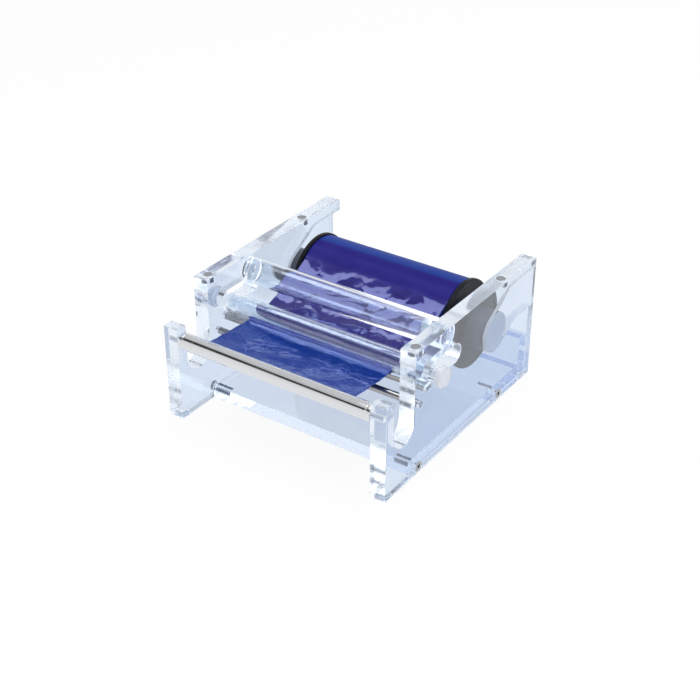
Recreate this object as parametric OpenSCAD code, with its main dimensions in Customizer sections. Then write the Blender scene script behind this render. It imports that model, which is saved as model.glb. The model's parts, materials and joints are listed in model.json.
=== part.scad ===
// Hair foil dispenser: two clear side plates on a clear base carry a roll of foil, the
// rollers that lead the foil forward and the steel rod over which it is drawn off.
// +X runs across the roll, +Y from front to back and +Z up. The origin is on the table,
// under the middle of the whole. Places along Y count from the front face of the posts and
// heights from the underside of the side plates.

/* [Side plates] */
// Width over the two side plates
body_w = 180; // [176:1:196]
// Depth of the side plates, front to back
body_d = 190.5; // [188:0.5:204]
// Height of the side plates
body_h = 94.3; // [93.8:0.1:99]
// Thickness of the clear sheet of the side plates
plate_t = 12; // [11:0.5:14]

/* [Front post and finger notch] */
// Drop of the front post's top below the side plates' top edge
post_drop = 23; // [18:0.1:24.3]
// Depth of the front post
post_d = 9; // [8.6:0.1:10]
// Width of the finger notch behind the post
notch_w = 24; // [20:0.5:25]
// Height of the lowest point of the notch
notch_z = 32; // [28:0.5:36]

/* [Base] */
// Thickness of the base panel
base_t = 10; // [9:0.5:13]
// Place of the base panel's front edge
base_front = 33.5; // [25:0.5:38]
// Thickness of the rear rail
rail_t = 10; // [8:0.5:13]
// Height of the rear rail
rail_h = 32; // [20:1:40]

/* [Press roller] */
// Radius of the press roller's shaft
shaft_r = 4.8; // [4.3:0.1:5]
// Lift of the shaft in its slots
lift = 3.6; // [2:0.1:4]
// Outer radius of the sleeve on the shaft
sleeve_r = 7; // [6.2:0.1:7.4]
// Wall of the sleeve between its end bushes
sleeve_wall = 1.1; // [0.8:0.1:1.1]
// Drop of the slots' middle line below the top edge
slot_drop = 23.7; // [22.8:0.1:24.3]
// Place of the slots' front end centre, where the shaft lies
slot_front = 55.3; // [54.5:0.1:57]
// Place of the slots' rear end centre
slot_rear = 82; // [78:0.1:94]
// Radius of a knob
knob_r = 7.5; // [7.4:0.1:9]
// Thickness of a knob
knob_t = 4.5; // [4.5:0.5:8]
// Clear space between a knob and its side plate
knob_space = 4.2; // [2:0.1:8]

/* [Guide roller] */
// Radius of the guide roller
guide_r = 9.5; // [8:0.1:9.6]
// Place of the guide roller's axis
guide_y = 78.8; // [77:0.1:82]
// Drop of the guide roller's axis below the top edge
guide_drop = 10.3; // [10.1:0.1:11.3]
// Radius of the pins that carry the guide roller
pin_r = 3; // [2:0.1:3.5]
// Length of a pin in the guide roller
pin_in_roller = 9; // [6:0.5:14]
// Wall of the guide roller's tube
guide_wall = 1.8; // [1.5:0.1:3]

/* [Steel rods] */
// Radius of the front rod
front_r = 6; // [5.5:0.1:6.2]
// Place of the front rod's axis, in the posts
front_y = 4.75; // [4.3:0.05:5]
// Drop of the front rod's axis below the top edge
front_drop = 32.8; // [31.3:0.1:34.3]
// Radius of the spigot at each end of the front rod
spigot_r = 2.5; // [1.5:0.1:2.8]
// Length of a front rod spigot
spigot_len = 8; // [5:0.5:9]
// Depth of the flat bar under the foil, front to back
flat_d = 7; // [6:0.5:8]
// Height of the flat bar under the foil
flat_h = 4; // [3:0.5:5]
// Radius of the tie rod
tie_r = 2.5; // [2:0.1:3]
// Place of the tie rod's axis
tie_y = 44.4; // [41:0.1:45]
// Drop of the tie rod's axis below the top edge
tie_drop = 44.3; // [43.8:0.1:52]
// Depth of the blind seats that hold pins, flat bar and tie rod
seat_depth = 6; // [4:0.5:8]

/* [Roll pocket] */
// Place of the seated roll's axis
seat_y = 140.2; // [138:0.1:143]
// Drop of the seated roll's axis below the top edge
seat_drop = 36.8; // [35.8:0.1:37.8]
// Rearward part of the pocket's sloping run
run_y = 23.2; // [21:0.1:25]
// Upward part of the pocket's sloping run
run_z = 13.4; // [11:0.1:13.6]
// Radius of the hubs that lie in the pockets
hub_r = 14.7; // [12:0.1:15]
// Depth of the pocket in the plate's inner face
pocket_depth = 6.3; // [5:0.1:7]

/* [Foil roll] */
// Width of the foil
foil_w = 120; // [112:1:122]
// Outer radius of the wound foil
winding_r = 30.3; // [24:0.1:32]
// Outer radius of the card core
core_r = 17; // [15:0.1:20]
// Wall of the card core
core_wall = 2; // [1:0.1:3]
// Thickness of an end flange
flange_t = 3; // [2:0.5:4]
// How far a flange stands out past the wound foil
flange_rim = 1.2; // [0.5:0.1:2]
// Length of the flange's plug in the core
plug_len = 14; // [8:1:25]
// Radius of the hub's spigot in the flange
hub_spigot_r = 8; // [6:0.1:10]

/* [Foil web] */
// Thickness of the drawn-out foil as a solid
web_t = 0.4; // [0.3:0.05:0.5]
// Angle round the roll, from the rear, at which the foil leaves it
leave_angle = 124.5; // [122:0.5:128]
// Angle round the front rod, from the rear, at which the foil ends
end_angle = 24; // [15:1:40]

/* [Fasteners and feet] */
// Place of the front base screws
screw_y1 = 40; // [39.5:0.5:55]
// Place of the rear base screws
screw_y2 = 146; // [130:1:165]
// Radius of a base screw's shank
screw_r = 2; // [1.5:0.1:2.2]
// Length of a base screw
screw_len = 25; // [20:1:30]
// Radius of a base screw's countersunk head
head_r = 3.8; // [3:0.1:4.2]
// Place of the front plugs in the top edges
plug_y1 = 41.5; // [41:0.1:44]
// Place of the rear plugs in the top edges
plug_y2 = 150; // [145:0.5:151]
// Radius of a top edge plug
plug_r = 3.25; // [2.5:0.05:3.5]
// Length of a top edge plug
plug_depth = 5; // [5:0.5:8]
// Radius of the studs that hold the knobs
stud_r = 2; // [1.5:0.1:2.5]
// Radius of a foot
foot_r = 4.5; // [3.5:0.1:5]
// Height of a foot below the side plates
foot_proud = 1; // [0.5:0.1:2]
// Place of the front feet
foot_y1 = 6; // [6:0.5:20]
// Distance of the rear feet from the side plates' rear edge
foot_back = 8.5; // [8:0.5:25]

/* [Hidden] */
// Gap between pieces that are fixed in each other
fix_gap = 0.05;
// Radial gap of a turning fit
turn_gap = 0.05;
// Gap between loose pieces
loose_gap = 0.3;
// Air between the foil and the press roller's sleeve
web_air = 0.7;
// How far a cut runs past the face that it opens
over = 1;
// Depth of a foot's recess in the side plate
foot_recess = 1;
// How far the flat bar's middle lies in front of the press roller
flat_ahead = 1.8;
// How far the foil runs level behind the flat bar
web_flat = 3;
// How far the foil runs straight on as it leaves the roll
web_pull = 31.4;
// Steps along the hanging stretch of the foil
web_steps = 16;
// Depth of a stud in the shaft and in the knob
stud_in_shaft = 8;
stud_in_knob = 3;
// Width of the bush at each end of the sleeve
sleeve_bush = 6;
// Rounding of the knobs' rims
knob_round = 1.2;
// Depth of a countersunk head
head_depth = 2.4;
$fn = 96;

inner_x = body_w / 2 - plate_t;
plate_mid = body_w / 2 - plate_t / 2;
y_mid = (body_d + front_y - front_r) / 2;
post_h = body_h - post_drop;
slot_z = body_h - slot_drop;
guide_z = body_h - guide_drop;
guide_bore = guide_r - guide_wall;
front_z = body_h - front_drop;
tie_z = body_h - tie_drop;
seat_z = body_h - seat_drop;
foot_y2 = body_d - foot_back;
slot_half = shaft_r + loose_gap + lift / 2;
shaft_y = slot_front;
shaft_z = slot_z - lift / 2;
knob_x = body_w / 2 + knob_space;
web_z = shaft_z - sleeve_r - web_air - web_t / 2;
web_off = loose_gap + web_t / 2;
web_w = foil_w - 1;
flat_y = shaft_y - flat_ahead;
flat_top = web_z - web_off;
roller_half = inner_x - 0.5;
flange_r = winding_r + flange_rim;
flange_x = foil_w / 2 + loose_gap;
hub_x = flange_x + flange_t;
hub_end = inner_x + pocket_depth - loose_gap;
pocket_r = hub_r + loose_gap;
core_in = core_r - core_wall;
notch_r = notch_w / 2;
main_front = post_d + notch_w;

function unit(v) = v / norm(v);
function polar(r, a) = [r * cos(a), r * sin(a)];

// Points of a curve from a to c that leaves a and reaches c towards b
function bend(a, b, c, n) = [for (i = [0 : n])
    let (u = i / n, v = 1 - u) v * v * a + 2 * v * u * b + u * u * c];

// The middle line of the drawn-out foil, as places along Y and heights
web_start = [seat_y, seat_z] + polar(winding_r + web_off, leave_angle);
web_end = [front_y, front_z] + polar(front_r + web_off, end_angle);
web_line = concat(
    bend(web_start, web_start + web_pull * [-sin(leave_angle), cos(leave_angle)],
        [flat_y + flat_d / 2 + web_flat, web_z], web_steps),
    [[flat_y - flat_d / 2, web_z], web_end]);

// The unit normal of the foil's middle line at its point i
function web_normal(i) =
    let (last = len(web_line) - 1,
        along = unit(web_line[min(i + 1, last)] - web_line[max(i - 1, 0)]))
    [-along[1], along[0]];

// Stands a drawing of places along Y and heights up at X = x and thickens it towards +X
module stand(x, thick) {
    translate([x, -y_mid, foot_proud]) rotate([90, 0, 90]) linear_extrude(thick) children();
}

// A round bar along X
module bar_x(x, len, r, y, z) {
    translate([x, y - y_mid, z + foot_proud]) rotate([0, 90, 0]) cylinder(r = r, h = len);
}

// A block with its lowest corner at the place given
module block(x, y, z, size) {
    translate([x, y - y_mid, z + foot_proud]) cube(size);
}

// Draws its children on both sides
module both_sides() {
    for (side = [0, 1]) mirror([side, 0, 0]) children();
}

// A stretch of slot between two points of a drawing
module slot_run(a, b, r) {
    translate(a) circle(r = r);
    translate(b) circle(r = r);
    translate(a) rotate(atan2(b[1] - a[1], b[0] - a[0]))
        translate([0, -r]) square([norm(b - a), 2 * r]);
}

// The outline of a side plate with its finger notch and shaft slot
module plate_face() {
    difference() {
        union() {
            square([main_front, notch_z + notch_r]);
            square([post_d, post_h]);
            translate([main_front, 0]) square([body_d - main_front, body_h]);
        }
        translate([post_d + notch_r, notch_z + notch_r]) circle(r = notch_r);
        translate([post_d, notch_z + notch_r]) square([notch_w, body_h]);
        slot_run([slot_front, slot_z], [slot_rear, slot_z], slot_half);
    }
}

// The roll's pocket: a sloping run from the seat, then level to the rear edge
module pocket_face() {
    knee = [seat_y + run_y, seat_z + run_z];
    slot_run([seat_y, seat_z], knee, pocket_r);
    translate([knee[0], knee[1] - pocket_r]) square([body_d - knee[0] + over, 2 * pocket_r]);
}

// A countersunk base screw on the right-hand side, grown by a gap on its radius
module base_screw(y, gap) {
    bar_x(body_w / 2 - screw_len, screw_len, screw_r + gap, y, base_t / 2);
    translate([body_w / 2 - head_depth, y - y_mid, base_t / 2 + foot_proud]) rotate([0, 90, 0])
        cylinder(r1 = screw_r + gap, r2 = head_r + gap, h = head_depth);
}

// The right-hand side plate; the left one is its mirror image
module side_plate() {
    difference() {
        stand(inner_x, plate_t) plate_face();
        stand(inner_x - over, pocket_depth + over) pocket_face();
        bar_x(inner_x - over, seat_depth + over, pin_r + fix_gap, guide_y, guide_z);
        bar_x(inner_x - over, seat_depth + over, tie_r + fix_gap, tie_y, tie_z);
        bar_x(inner_x - over, spigot_len + 1 + over, spigot_r + turn_gap, front_y, front_z);
        block(inner_x - over, flat_y - flat_d / 2 - fix_gap, flat_top - flat_h - fix_gap,
            [seat_depth + over, flat_d + 2 * fix_gap, flat_h + 2 * fix_gap]);
        for (y = [screw_y1, screw_y2]) base_screw(y, fix_gap);
        for (y = [plug_y1, plug_y2])
            translate([plate_mid, y - y_mid, body_h + foot_proud - plug_depth])
                cylinder(r = plug_r + fix_gap, h = plug_depth + over);
        for (y = [foot_y1, foot_y2])
            translate([plate_mid, y - y_mid, foot_proud - over])
                cylinder(r = foot_r + fix_gap, h = foot_recess + over);
    }
}

module side_plate_left() {
    color([0.86, 0.92, 0.98, 0.45]) mirror([1, 0, 0]) side_plate();
}

module side_plate_right() {
    color([0.86, 0.92, 0.98, 0.45]) side_plate();
}

module base_panel() {
    color([0.84, 0.9, 0.97, 0.45]) difference() {
        block(-inner_x, base_front, 0, [2 * inner_x, body_d - rail_t - base_front, base_t]);
        both_sides() for (y = [screw_y1, screw_y2]) base_screw(y, fix_gap);
    }
}

module rear_rail() {
    color([0.84, 0.9, 0.97, 0.45])
        block(-inner_x, body_d - rail_t, 0, [2 * inner_x, rail_t, rail_h]);
}

module base_screws() {
    color("dimgray") both_sides() for (y = [screw_y1, screw_y2]) base_screw(y, 0);
}

module edge_plugs() {
    color([0.2, 0.2, 0.22]) both_sides() for (y = [plug_y1, plug_y2])
        translate([plate_mid, y - y_mid, body_h + foot_proud - plug_depth])
            cylinder(r = plug_r, h = plug_depth);
}

module bumper_feet() {
    color([0.2, 0.2, 0.22]) both_sides() for (y = [foot_y1, foot_y2])
        translate([plate_mid, y - y_mid, 0]) cylinder(r = foot_r, h = foot_proud + foot_recess);
}

module front_rod() {
    rod_half = inner_x - loose_gap;
    color("silver") union() {
        bar_x(-rod_half, 2 * rod_half, front_r, front_y, front_z);
        bar_x(-inner_x - spigot_len, 2 * (inner_x + spigot_len), spigot_r, front_y, front_z);
    }
}

module tear_bar() {
    half = inner_x + seat_depth - loose_gap;
    color("gray") block(-half, flat_y - flat_d / 2, flat_top - flat_h, [2 * half, flat_d, flat_h]);
}

module tie_rod() {
    half = inner_x + seat_depth - loose_gap;
    color("gray") bar_x(-half, 2 * half, tie_r, tie_y, tie_z);
}

module guide_roller() {
    color([0.86, 0.92, 0.98, 0.45]) difference() {
        bar_x(-roller_half, 2 * roller_half, guide_r, guide_y, guide_z);
        bar_x(-roller_half - over, 2 * (roller_half + over), guide_bore, guide_y, guide_z);
    }
}

module guide_pins() {
    color([0.86, 0.92, 0.98, 0.45]) both_sides() {
        bar_x(roller_half - pin_in_roller, pin_in_roller, guide_bore - turn_gap, guide_y, guide_z);
        bar_x(roller_half - pin_in_roller, pin_in_roller + inner_x - roller_half + seat_depth - loose_gap,
            pin_r, guide_y, guide_z);
    }
}

module press_shaft() {
    color([0.86, 0.92, 0.98, 0.45]) difference() {
        bar_x(-knob_x, 2 * knob_x, shaft_r, shaft_y, shaft_z);
        both_sides() bar_x(knob_x - stud_in_shaft, stud_in_shaft + over, stud_r + fix_gap,
            shaft_y, shaft_z);
    }
}

module press_sleeve() {
    color([0.86, 0.92, 0.98, 0.45]) difference() {
        bar_x(-roller_half, 2 * roller_half, sleeve_r, shaft_y, shaft_z);
        bar_x(-roller_half - over, 2 * (roller_half + over), shaft_r + turn_gap, shaft_y, shaft_z);
        bar_x(sleeve_bush - roller_half, 2 * (roller_half - sleeve_bush), sleeve_r - sleeve_wall,
            shaft_y, shaft_z);
    }
}

// The right-hand knob of the press roller
module press_knob() {
    translate([knob_x, shaft_y - y_mid, shaft_z + foot_proud]) rotate([0, 90, 0]) difference() {
        rotate_extrude() {
            square([knob_r - knob_round, knob_t]);
            translate([0, knob_round]) square([knob_r, knob_t - 2 * knob_round]);
            for (z = [knob_round, knob_t - knob_round])
                translate([knob_r - knob_round, z]) circle(r = knob_round);
        }
        translate([0, 0, -over]) cylinder(r = stud_r + fix_gap, h = stud_in_knob + over);
    }
}

module press_knob_left() {
    color([0.9, 0.94, 0.98, 0.6]) mirror([1, 0, 0]) press_knob();
}

module press_knob_right() {
    color([0.9, 0.94, 0.98, 0.6]) press_knob();
}

module knob_studs() {
    color("silver") both_sides() bar_x(knob_x - stud_in_shaft + 0.2,
        stud_in_shaft + stud_in_knob - 0.4, stud_r, shaft_y, shaft_z);
}

module foil_winding() {
    color([0.13, 0.12, 0.5]) difference() {
        bar_x(-foil_w / 2, foil_w, winding_r, seat_y, seat_z);
        bar_x(-foil_w / 2 - over, foil_w + 2 * over, core_r + fix_gap, seat_y, seat_z);
    }
}

module foil_core() {
    color("tan") difference() {
        bar_x(-foil_w / 2, foil_w, core_r, seat_y, seat_z);
        bar_x(-foil_w / 2 - over, foil_w + 2 * over, core_in, seat_y, seat_z);
    }
}

// The right-hand end flange of the roll, with its plug in the core
module flange() {
    difference() {
        union() {
            bar_x(flange_x, flange_t, flange_r, seat_y, seat_z);
            bar_x(flange_x - plug_len, plug_len + flange_t / 2, core_in - fix_gap, seat_y, seat_z);
        }
        bar_x(flange_x - plug_len - over, plug_len + flange_t + 2 * over, hub_spigot_r + fix_gap,
            seat_y, seat_z);
    }
}

module flange_left() {
    color([0.1, 0.1, 0.12]) mirror([1, 0, 0]) flange();
}

module flange_right() {
    color([0.1, 0.1, 0.12]) flange();
}

// The right-hand hub of the roll, with its spigot in the flange
module hub() {
    union() {
        bar_x(hub_x, hub_end - hub_x, hub_r, seat_y, seat_z);
        bar_x(flange_x - plug_len, hub_x - flange_x + plug_len + over, hub_spigot_r, seat_y, seat_z);
    }
}

module hub_left() {
    color("slategray") mirror([1, 0, 0]) hub();
}

module hub_right() {
    color("slategray") hub();
}

module foil_web() {
    last = len(web_line) - 1;
    upper = [for (i = [0 : last]) web_line[i] + web_t / 2 * web_normal(i)];
    lower = [for (i = [last : -1 : 0]) web_line[i] - web_t / 2 * web_normal(i)];
    color([0.16, 0.2, 0.62]) stand(-web_w / 2, web_w) polygon(concat(upper, lower));
}

side_plate_left();
side_plate_right();
base_panel();
rear_rail();
base_screws();
edge_plugs();
bumper_feet();
front_rod();
tear_bar();
tie_rod();
guide_roller();
guide_pins();
press_shaft();
press_sleeve();
press_knob_left();
press_knob_right();
knob_studs();
foil_winding();
foil_core();
flange_left();
flange_right();
hub_left();
hub_right();
foil_web();
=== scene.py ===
"""Looks of a clear counter dispenser for hair foil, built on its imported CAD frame.

X runs across the roll to the right, Y to the rear and Z up. Sizes of the pieces are in mm, those of
the finishes and of the studio in metres.
"""

import json
import logging
import math
from dataclasses import dataclass
from enum import Enum
from typing import Callable, Iterable, Sequence

import bmesh
import bpy
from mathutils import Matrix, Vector

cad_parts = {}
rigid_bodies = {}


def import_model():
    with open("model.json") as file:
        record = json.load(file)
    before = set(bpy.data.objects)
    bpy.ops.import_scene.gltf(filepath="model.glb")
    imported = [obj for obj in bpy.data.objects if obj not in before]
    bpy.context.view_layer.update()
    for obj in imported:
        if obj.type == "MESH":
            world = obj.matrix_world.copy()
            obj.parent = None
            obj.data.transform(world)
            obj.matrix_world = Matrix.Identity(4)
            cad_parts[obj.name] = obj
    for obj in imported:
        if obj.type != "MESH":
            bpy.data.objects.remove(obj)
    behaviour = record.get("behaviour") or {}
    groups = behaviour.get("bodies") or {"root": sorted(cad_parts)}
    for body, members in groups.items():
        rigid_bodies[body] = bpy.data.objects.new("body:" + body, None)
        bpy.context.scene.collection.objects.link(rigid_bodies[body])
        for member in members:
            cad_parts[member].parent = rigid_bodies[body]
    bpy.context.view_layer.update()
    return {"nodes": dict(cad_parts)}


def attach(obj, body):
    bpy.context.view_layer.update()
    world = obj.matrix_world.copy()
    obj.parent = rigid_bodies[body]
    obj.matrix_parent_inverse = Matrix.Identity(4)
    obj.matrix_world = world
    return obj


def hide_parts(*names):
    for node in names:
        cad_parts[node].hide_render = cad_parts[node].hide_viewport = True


LOG = logging.getLogger("foil_dispenser")
MM = 0.001
# A turned profile's point with a smaller radius, in mm, lies on the axis.
ON_AXIS = 1e-6
# Light that is mirrored, or sent on at all, more often than this counts as trapped.
MOST_MIRRORINGS = 3.5
MOST_BOUNCES = 11.5

Pair = tuple[float, float]
Point = tuple[float, float, float]
Colour = tuple[float, float, float, float]
Mesh = bpy.types.Mesh
Face = bpy.types.MeshPolygon
Vert = bmesh.types.BMVert
Material = bpy.types.Material
Object = bpy.types.Object
Tree = bpy.types.NodeTree
Node = bpy.types.Node
Socket = bpy.types.NodeSocket

BLACK: Colour = (0.0, 0.0, 0.0, 1.0)
WHITE: Colour = (1.0, 1.0, 1.0, 1.0)


class Side(Enum):
    """The two ends of the dispenser, by the sign of X."""

    LEFT = -1
    RIGHT = 1

    @property
    def word(self) -> str:
        """Returns the side's word as it stands in the node names."""
        return self.name.lower()

    def place(self, profile: Sequence[Pair]) -> list[Pair]:
        """Returns a profile that is drawn for the right-hand end, set at this end."""
        return [(self.value * x, r) for x, r in profile]


class Body(Enum):
    """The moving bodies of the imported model."""

    FRAME = "frame"
    ROLL = "foil_roll"
    FRONT_ROD = "front_rod"
    GUIDE = "guide_roller"
    SHAFT = "press_shaft"
    SLEEVE = "press_sleeve"


class Slot(Enum):
    """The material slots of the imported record."""

    ACRYLIC = "acrylic"
    BRIGHT_STEEL = "bright_steel"
    DARK_STEEL = "dark_steel"
    BLACK_PLASTIC = "black_plastic"
    GREY_PLASTIC = "grey_plastic"
    RUBBER = "clear_rubber"
    FOIL = "blue_foil"
    CARD = "card"


class Bench:
    """A node tree with short ways to add and join its nodes."""

    def __init__(self, tree: Tree) -> None:
        """Keeps the tree and clears what it holds.

        Args:
            tree: The node tree to fill.
        """
        self.tree = tree
        tree.nodes.clear()

    def add(self, kind: str, **settings: object) -> Node:
        """Adds a node and sets its own properties.

        Args:
            kind: The node's type name.
            settings: Properties of the node.

        Returns:
            The new node.
        """
        node = self.tree.nodes.new(kind)
        for name, value in settings.items():
            setattr(node, name, value)
        return node

    def join(self, source: Socket, target: Socket) -> None:
        """Links an output to an input."""
        self.tree.links.new(source, target)

    def fill(self, socket: Socket, value: object) -> None:
        """Sets or links an input.

        Args:
            socket: The input.
            value: Its value, or the output socket that gives it.
        """
        if isinstance(value, Socket):
            self.join(value, socket)
        else:
            socket.default_value = value

    def feed(self, node: Node, **inputs: object) -> Node:
        """Sets or links a node's inputs by name, with _ for a space.

        Args:
            node: The node whose inputs are filled.
            inputs: A value, or the output socket to link.

        Returns:
            The same node.
        """
        for name, value in inputs.items():
            self.fill(node.inputs[name.replace("_", " ")], value)
        return node

    def maths(self, operation: str, *values: object) -> Socket:
        """Adds a Math node.

        Args:
            operation: The node's operation.
            values: A number or an output socket for each input.

        Returns:
            The node's result.
        """
        node = self.add("ShaderNodeMath", operation=operation)
        for socket, value in zip(node.inputs, values):
            self.fill(socket, value)
        return node.outputs[0]

    def vector(self, operation: str, *values: object) -> Socket:
        """Adds a Vector Math node.

        Args:
            operation: The node's operation.
            values: A vector or an output socket for each input.

        Returns:
            The node's vector.
        """
        node = self.add("ShaderNodeVectorMath", operation=operation)
        for socket, value in zip(node.inputs, values):
            self.fill(socket, value)
        return node.outputs[0]

    def ease(self, value: Socket, start: float, end: float) -> Socket:
        """Adds a soft step.

        Args:
            value: The value that is judged.
            start: Where the step is still 0.
            end: Where the step has come to 1.

        Returns:
            The step, from 0 to 1.
        """
        node = self.add("ShaderNodeMapRange", interpolation_type="SMOOTHSTEP")
        return self.feed(node, Value=value, From_Min=start, From_Max=end).outputs[0]

    def noise(self, place: Socket, scale: object, detail: float, roughness: float = 0.5) -> Node:
        """Adds a noise texture.

        Args:
            place: Where the noise is looked up.
            scale: Its scale, a number or an output socket.
            detail: Its steps of finer detail.
            roughness: How strongly the finer detail shows.

        Returns:
            The node.
        """
        node = self.add("ShaderNodeTexNoise")
        return self.feed(node, Vector=place, Scale=scale, Detail=detail, Roughness=roughness)

    def between(self, share: Socket, low: object, high: object) -> Socket:
        """Adds a mix of two numbers.

        Args:
            share: Share of the second number.
            low: The first number, or the output socket that gives it.
            high: The second number, or the output socket that gives it.

        Returns:
            The number between them.
        """
        node = self.add("ShaderNodeMix", data_type="FLOAT")
        for index, value in ((0, share), (2, low), (3, high)):
            self.fill(node.inputs[index], value)
        return node.outputs[0]

    def mix_shaders(self, share: Socket, first: Node, second: Node) -> Socket:
        """Adds a mix of two shaders.

        Args:
            share: Share of the second shader.
            first: The first shader.
            second: The second shader.

        Returns:
            The mixed shader.
        """
        node = self.add("ShaderNodeMixShader")
        for socket, source in zip(node.inputs, (share, first.outputs[0], second.outputs[0])):
            self.join(source, socket)
        return node.outputs[0]

    def trapped(self, path: Node) -> Socket:
        """Marks light that goes round in clear pieces too often to come out by itself.

        Args:
            path: A Light Path node.

        Returns:
            1 for such light, else 0.
        """
        mirrored = self.maths("GREATER_THAN", path.outputs["Glossy Depth"], MOST_MIRRORINGS)
        deep = self.maths("GREATER_THAN", path.outputs["Ray Depth"], MOST_BOUNCES)
        return self.maths("MAXIMUM", mirrored, deep)

    def hand_out(self, shape: Socket, finish: Socket, label: str) -> None:
        """Ends a geometry tree with real geometry in one finish.

        Args:
            shape: The geometry.
            finish: The output socket that gives its material.
            label: Name of the tree's output.
        """
        real = self.add("GeometryNodeRealizeInstances")
        self.feed(real, Geometry=shape)
        coated = self.add("GeometryNodeSetMaterial")
        self.feed(coated, Geometry=real.outputs[0], Material=finish)
        out = self.add("NodeGroupOutput")
        self.join(coated.outputs[0], out.inputs[label])


def new_group(name: str, kind: str, sockets: Iterable[tuple[str, str, str]]) -> Tree:
    """Makes an empty node group with named inputs and outputs.

    Args:
        name: The group's name.
        kind: The tree's type name.
        sockets: Name, direction and socket type of each input and output.

    Returns:
        The new tree.
    """
    tree = bpy.data.node_groups.new(name, kind)
    for label, way, socket_type in sockets:
        tree.interface.new_socket(name=label, in_out=way, socket_type=socket_type)
    return tree


class ShaderEffects:
    """The shader node groups that several finishes share."""

    def __init__(self) -> None:
        """Builds each group once."""
        self.handling = self._handling_marks()
        self.brushed = self._brushed_lines()
        self.creases = self._foil_creases()
        self.grain = self._moulded_grain()

    @staticmethod
    def _handling_marks() -> Tree:
        """Builds soft patches of touch and dust, as a roughness between two values.

        Returns:
            The group.
        """
        tree = new_group(
            "handling marks",
            "ShaderNodeTree",
            [
                ("Vector", "INPUT", "NodeSocketVector"),
                ("Scale", "INPUT", "NodeSocketFloat"),
                ("Low", "INPUT", "NodeSocketFloat"),
                ("High", "INPUT", "NodeSocketFloat"),
                ("Roughness", "OUTPUT", "NodeSocketFloat"),
                ("Mask", "OUTPUT", "NodeSocketFloat"),
            ],
        )
        bench = Bench(tree)
        given = bench.add("NodeGroupInput").outputs
        patches = bench.noise(given["Vector"], given["Scale"], 5.0, 0.62)
        mask = bench.ease(patches.outputs[0], 0.42, 0.72)
        spread = bench.add("ShaderNodeMapRange")
        bench.feed(spread, Value=mask, To_Min=given["Low"], To_Max=given["High"])
        out = bench.add("NodeGroupOutput")
        bench.feed(out, Roughness=spread.outputs[0], Mask=mask)
        return tree

    @staticmethod
    def _brushed_lines() -> Tree:
        """Builds fine lines along X, as drawn or polished bar shows them.

        Returns:
            The group.
        """
        tree = new_group(
            "drawn lines",
            "ShaderNodeTree",
            [
                ("Vector", "INPUT", "NodeSocketVector"),
                ("Scale", "INPUT", "NodeSocketFloat"),
                ("Lines", "OUTPUT", "NodeSocketFloat"),
            ],
        )
        bench = Bench(tree)
        given = bench.add("NodeGroupInput").outputs
        stretched = bench.vector("MULTIPLY", given["Vector"], (0.012, 1.0, 1.0))
        lines = bench.noise(stretched, given["Scale"], 3.0, 0.7)
        out = bench.add("NodeGroupOutput")
        bench.feed(out, Lines=lines.outputs[0])
        return tree

    @staticmethod
    def _foil_creases() -> Tree:
        """Builds sharp creases in thin foil, at a coarse and a fine size.

        Returns:
            The group.
        """
        tree = new_group(
            "foil creases",
            "ShaderNodeTree",
            [
                ("Vector", "INPUT", "NodeSocketVector"),
                ("Scale", "INPUT", "NodeSocketFloat"),
                ("Height", "OUTPUT", "NodeSocketFloat"),
                ("Ridges", "OUTPUT", "NodeSocketFloat"),
            ],
        )
        bench = Bench(tree)
        given = bench.add("NodeGroupInput").outputs
        drift = bench.noise(given["Vector"], 60.0, 2.0)
        sway = (0.012, 0.012, 0.012)
        swayed = bench.vector("MULTIPLY_ADD", drift.outputs[1], sway, given["Vector"])
        facets = bench.add("ShaderNodeTexVoronoi", feature="F1")
        bench.feed(facets, Vector=swayed, Scale=given["Scale"])
        fine_scale = bench.maths("MULTIPLY", given["Scale"], 2.7)
        laid = bench.add("ShaderNodeMapping", vector_type="TEXTURE")
        bench.feed(laid, Vector=swayed, Rotation=(0.0, 0.0, -0.3), Scale=(2.6, 0.8, 1.0))
        fine = bench.add("ShaderNodeTexVoronoi", feature="DISTANCE_TO_EDGE")
        bench.feed(fine, Vector=laid.outputs[0], Scale=fine_scale)
        sharp = bench.ease(fine.outputs[0], 0.07, 0.0)
        clouds = bench.noise(given["Vector"], 38.0, 2.0)
        crushed = bench.ease(clouds.outputs[0], 0.40, 0.62)
        lines = bench.maths("MULTIPLY", sharp, crushed)
        small = bench.maths("MULTIPLY", lines, 0.22)
        height = bench.maths("ADD", facets.outputs[0], small)
        out = bench.add("NodeGroupOutput")
        bench.feed(out, Height=height, Ridges=lines)
        return tree

    @staticmethod
    def _moulded_grain() -> Tree:
        """Builds the fine pebble grain of a moulded surface.

        Returns:
            The group.
        """
        tree = new_group(
            "moulded grain",
            "ShaderNodeTree",
            [
                ("Vector", "INPUT", "NodeSocketVector"),
                ("Scale", "INPUT", "NodeSocketFloat"),
                ("Height", "OUTPUT", "NodeSocketFloat"),
                ("Shade", "OUTPUT", "NodeSocketFloat"),
            ],
        )
        bench = Bench(tree)
        given = bench.add("NodeGroupInput").outputs
        pebbles = bench.add("ShaderNodeTexVoronoi", feature="SMOOTH_F1")
        bench.feed(pebbles, Vector=given["Vector"], Scale=given["Scale"])
        clouds = bench.noise(given["Vector"], 85.0, 4.0, 0.6)
        out = bench.add("NodeGroupOutput")
        bench.feed(out, Height=pebbles.outputs[0], Shade=clouds.outputs[0])
        return tree


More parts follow.
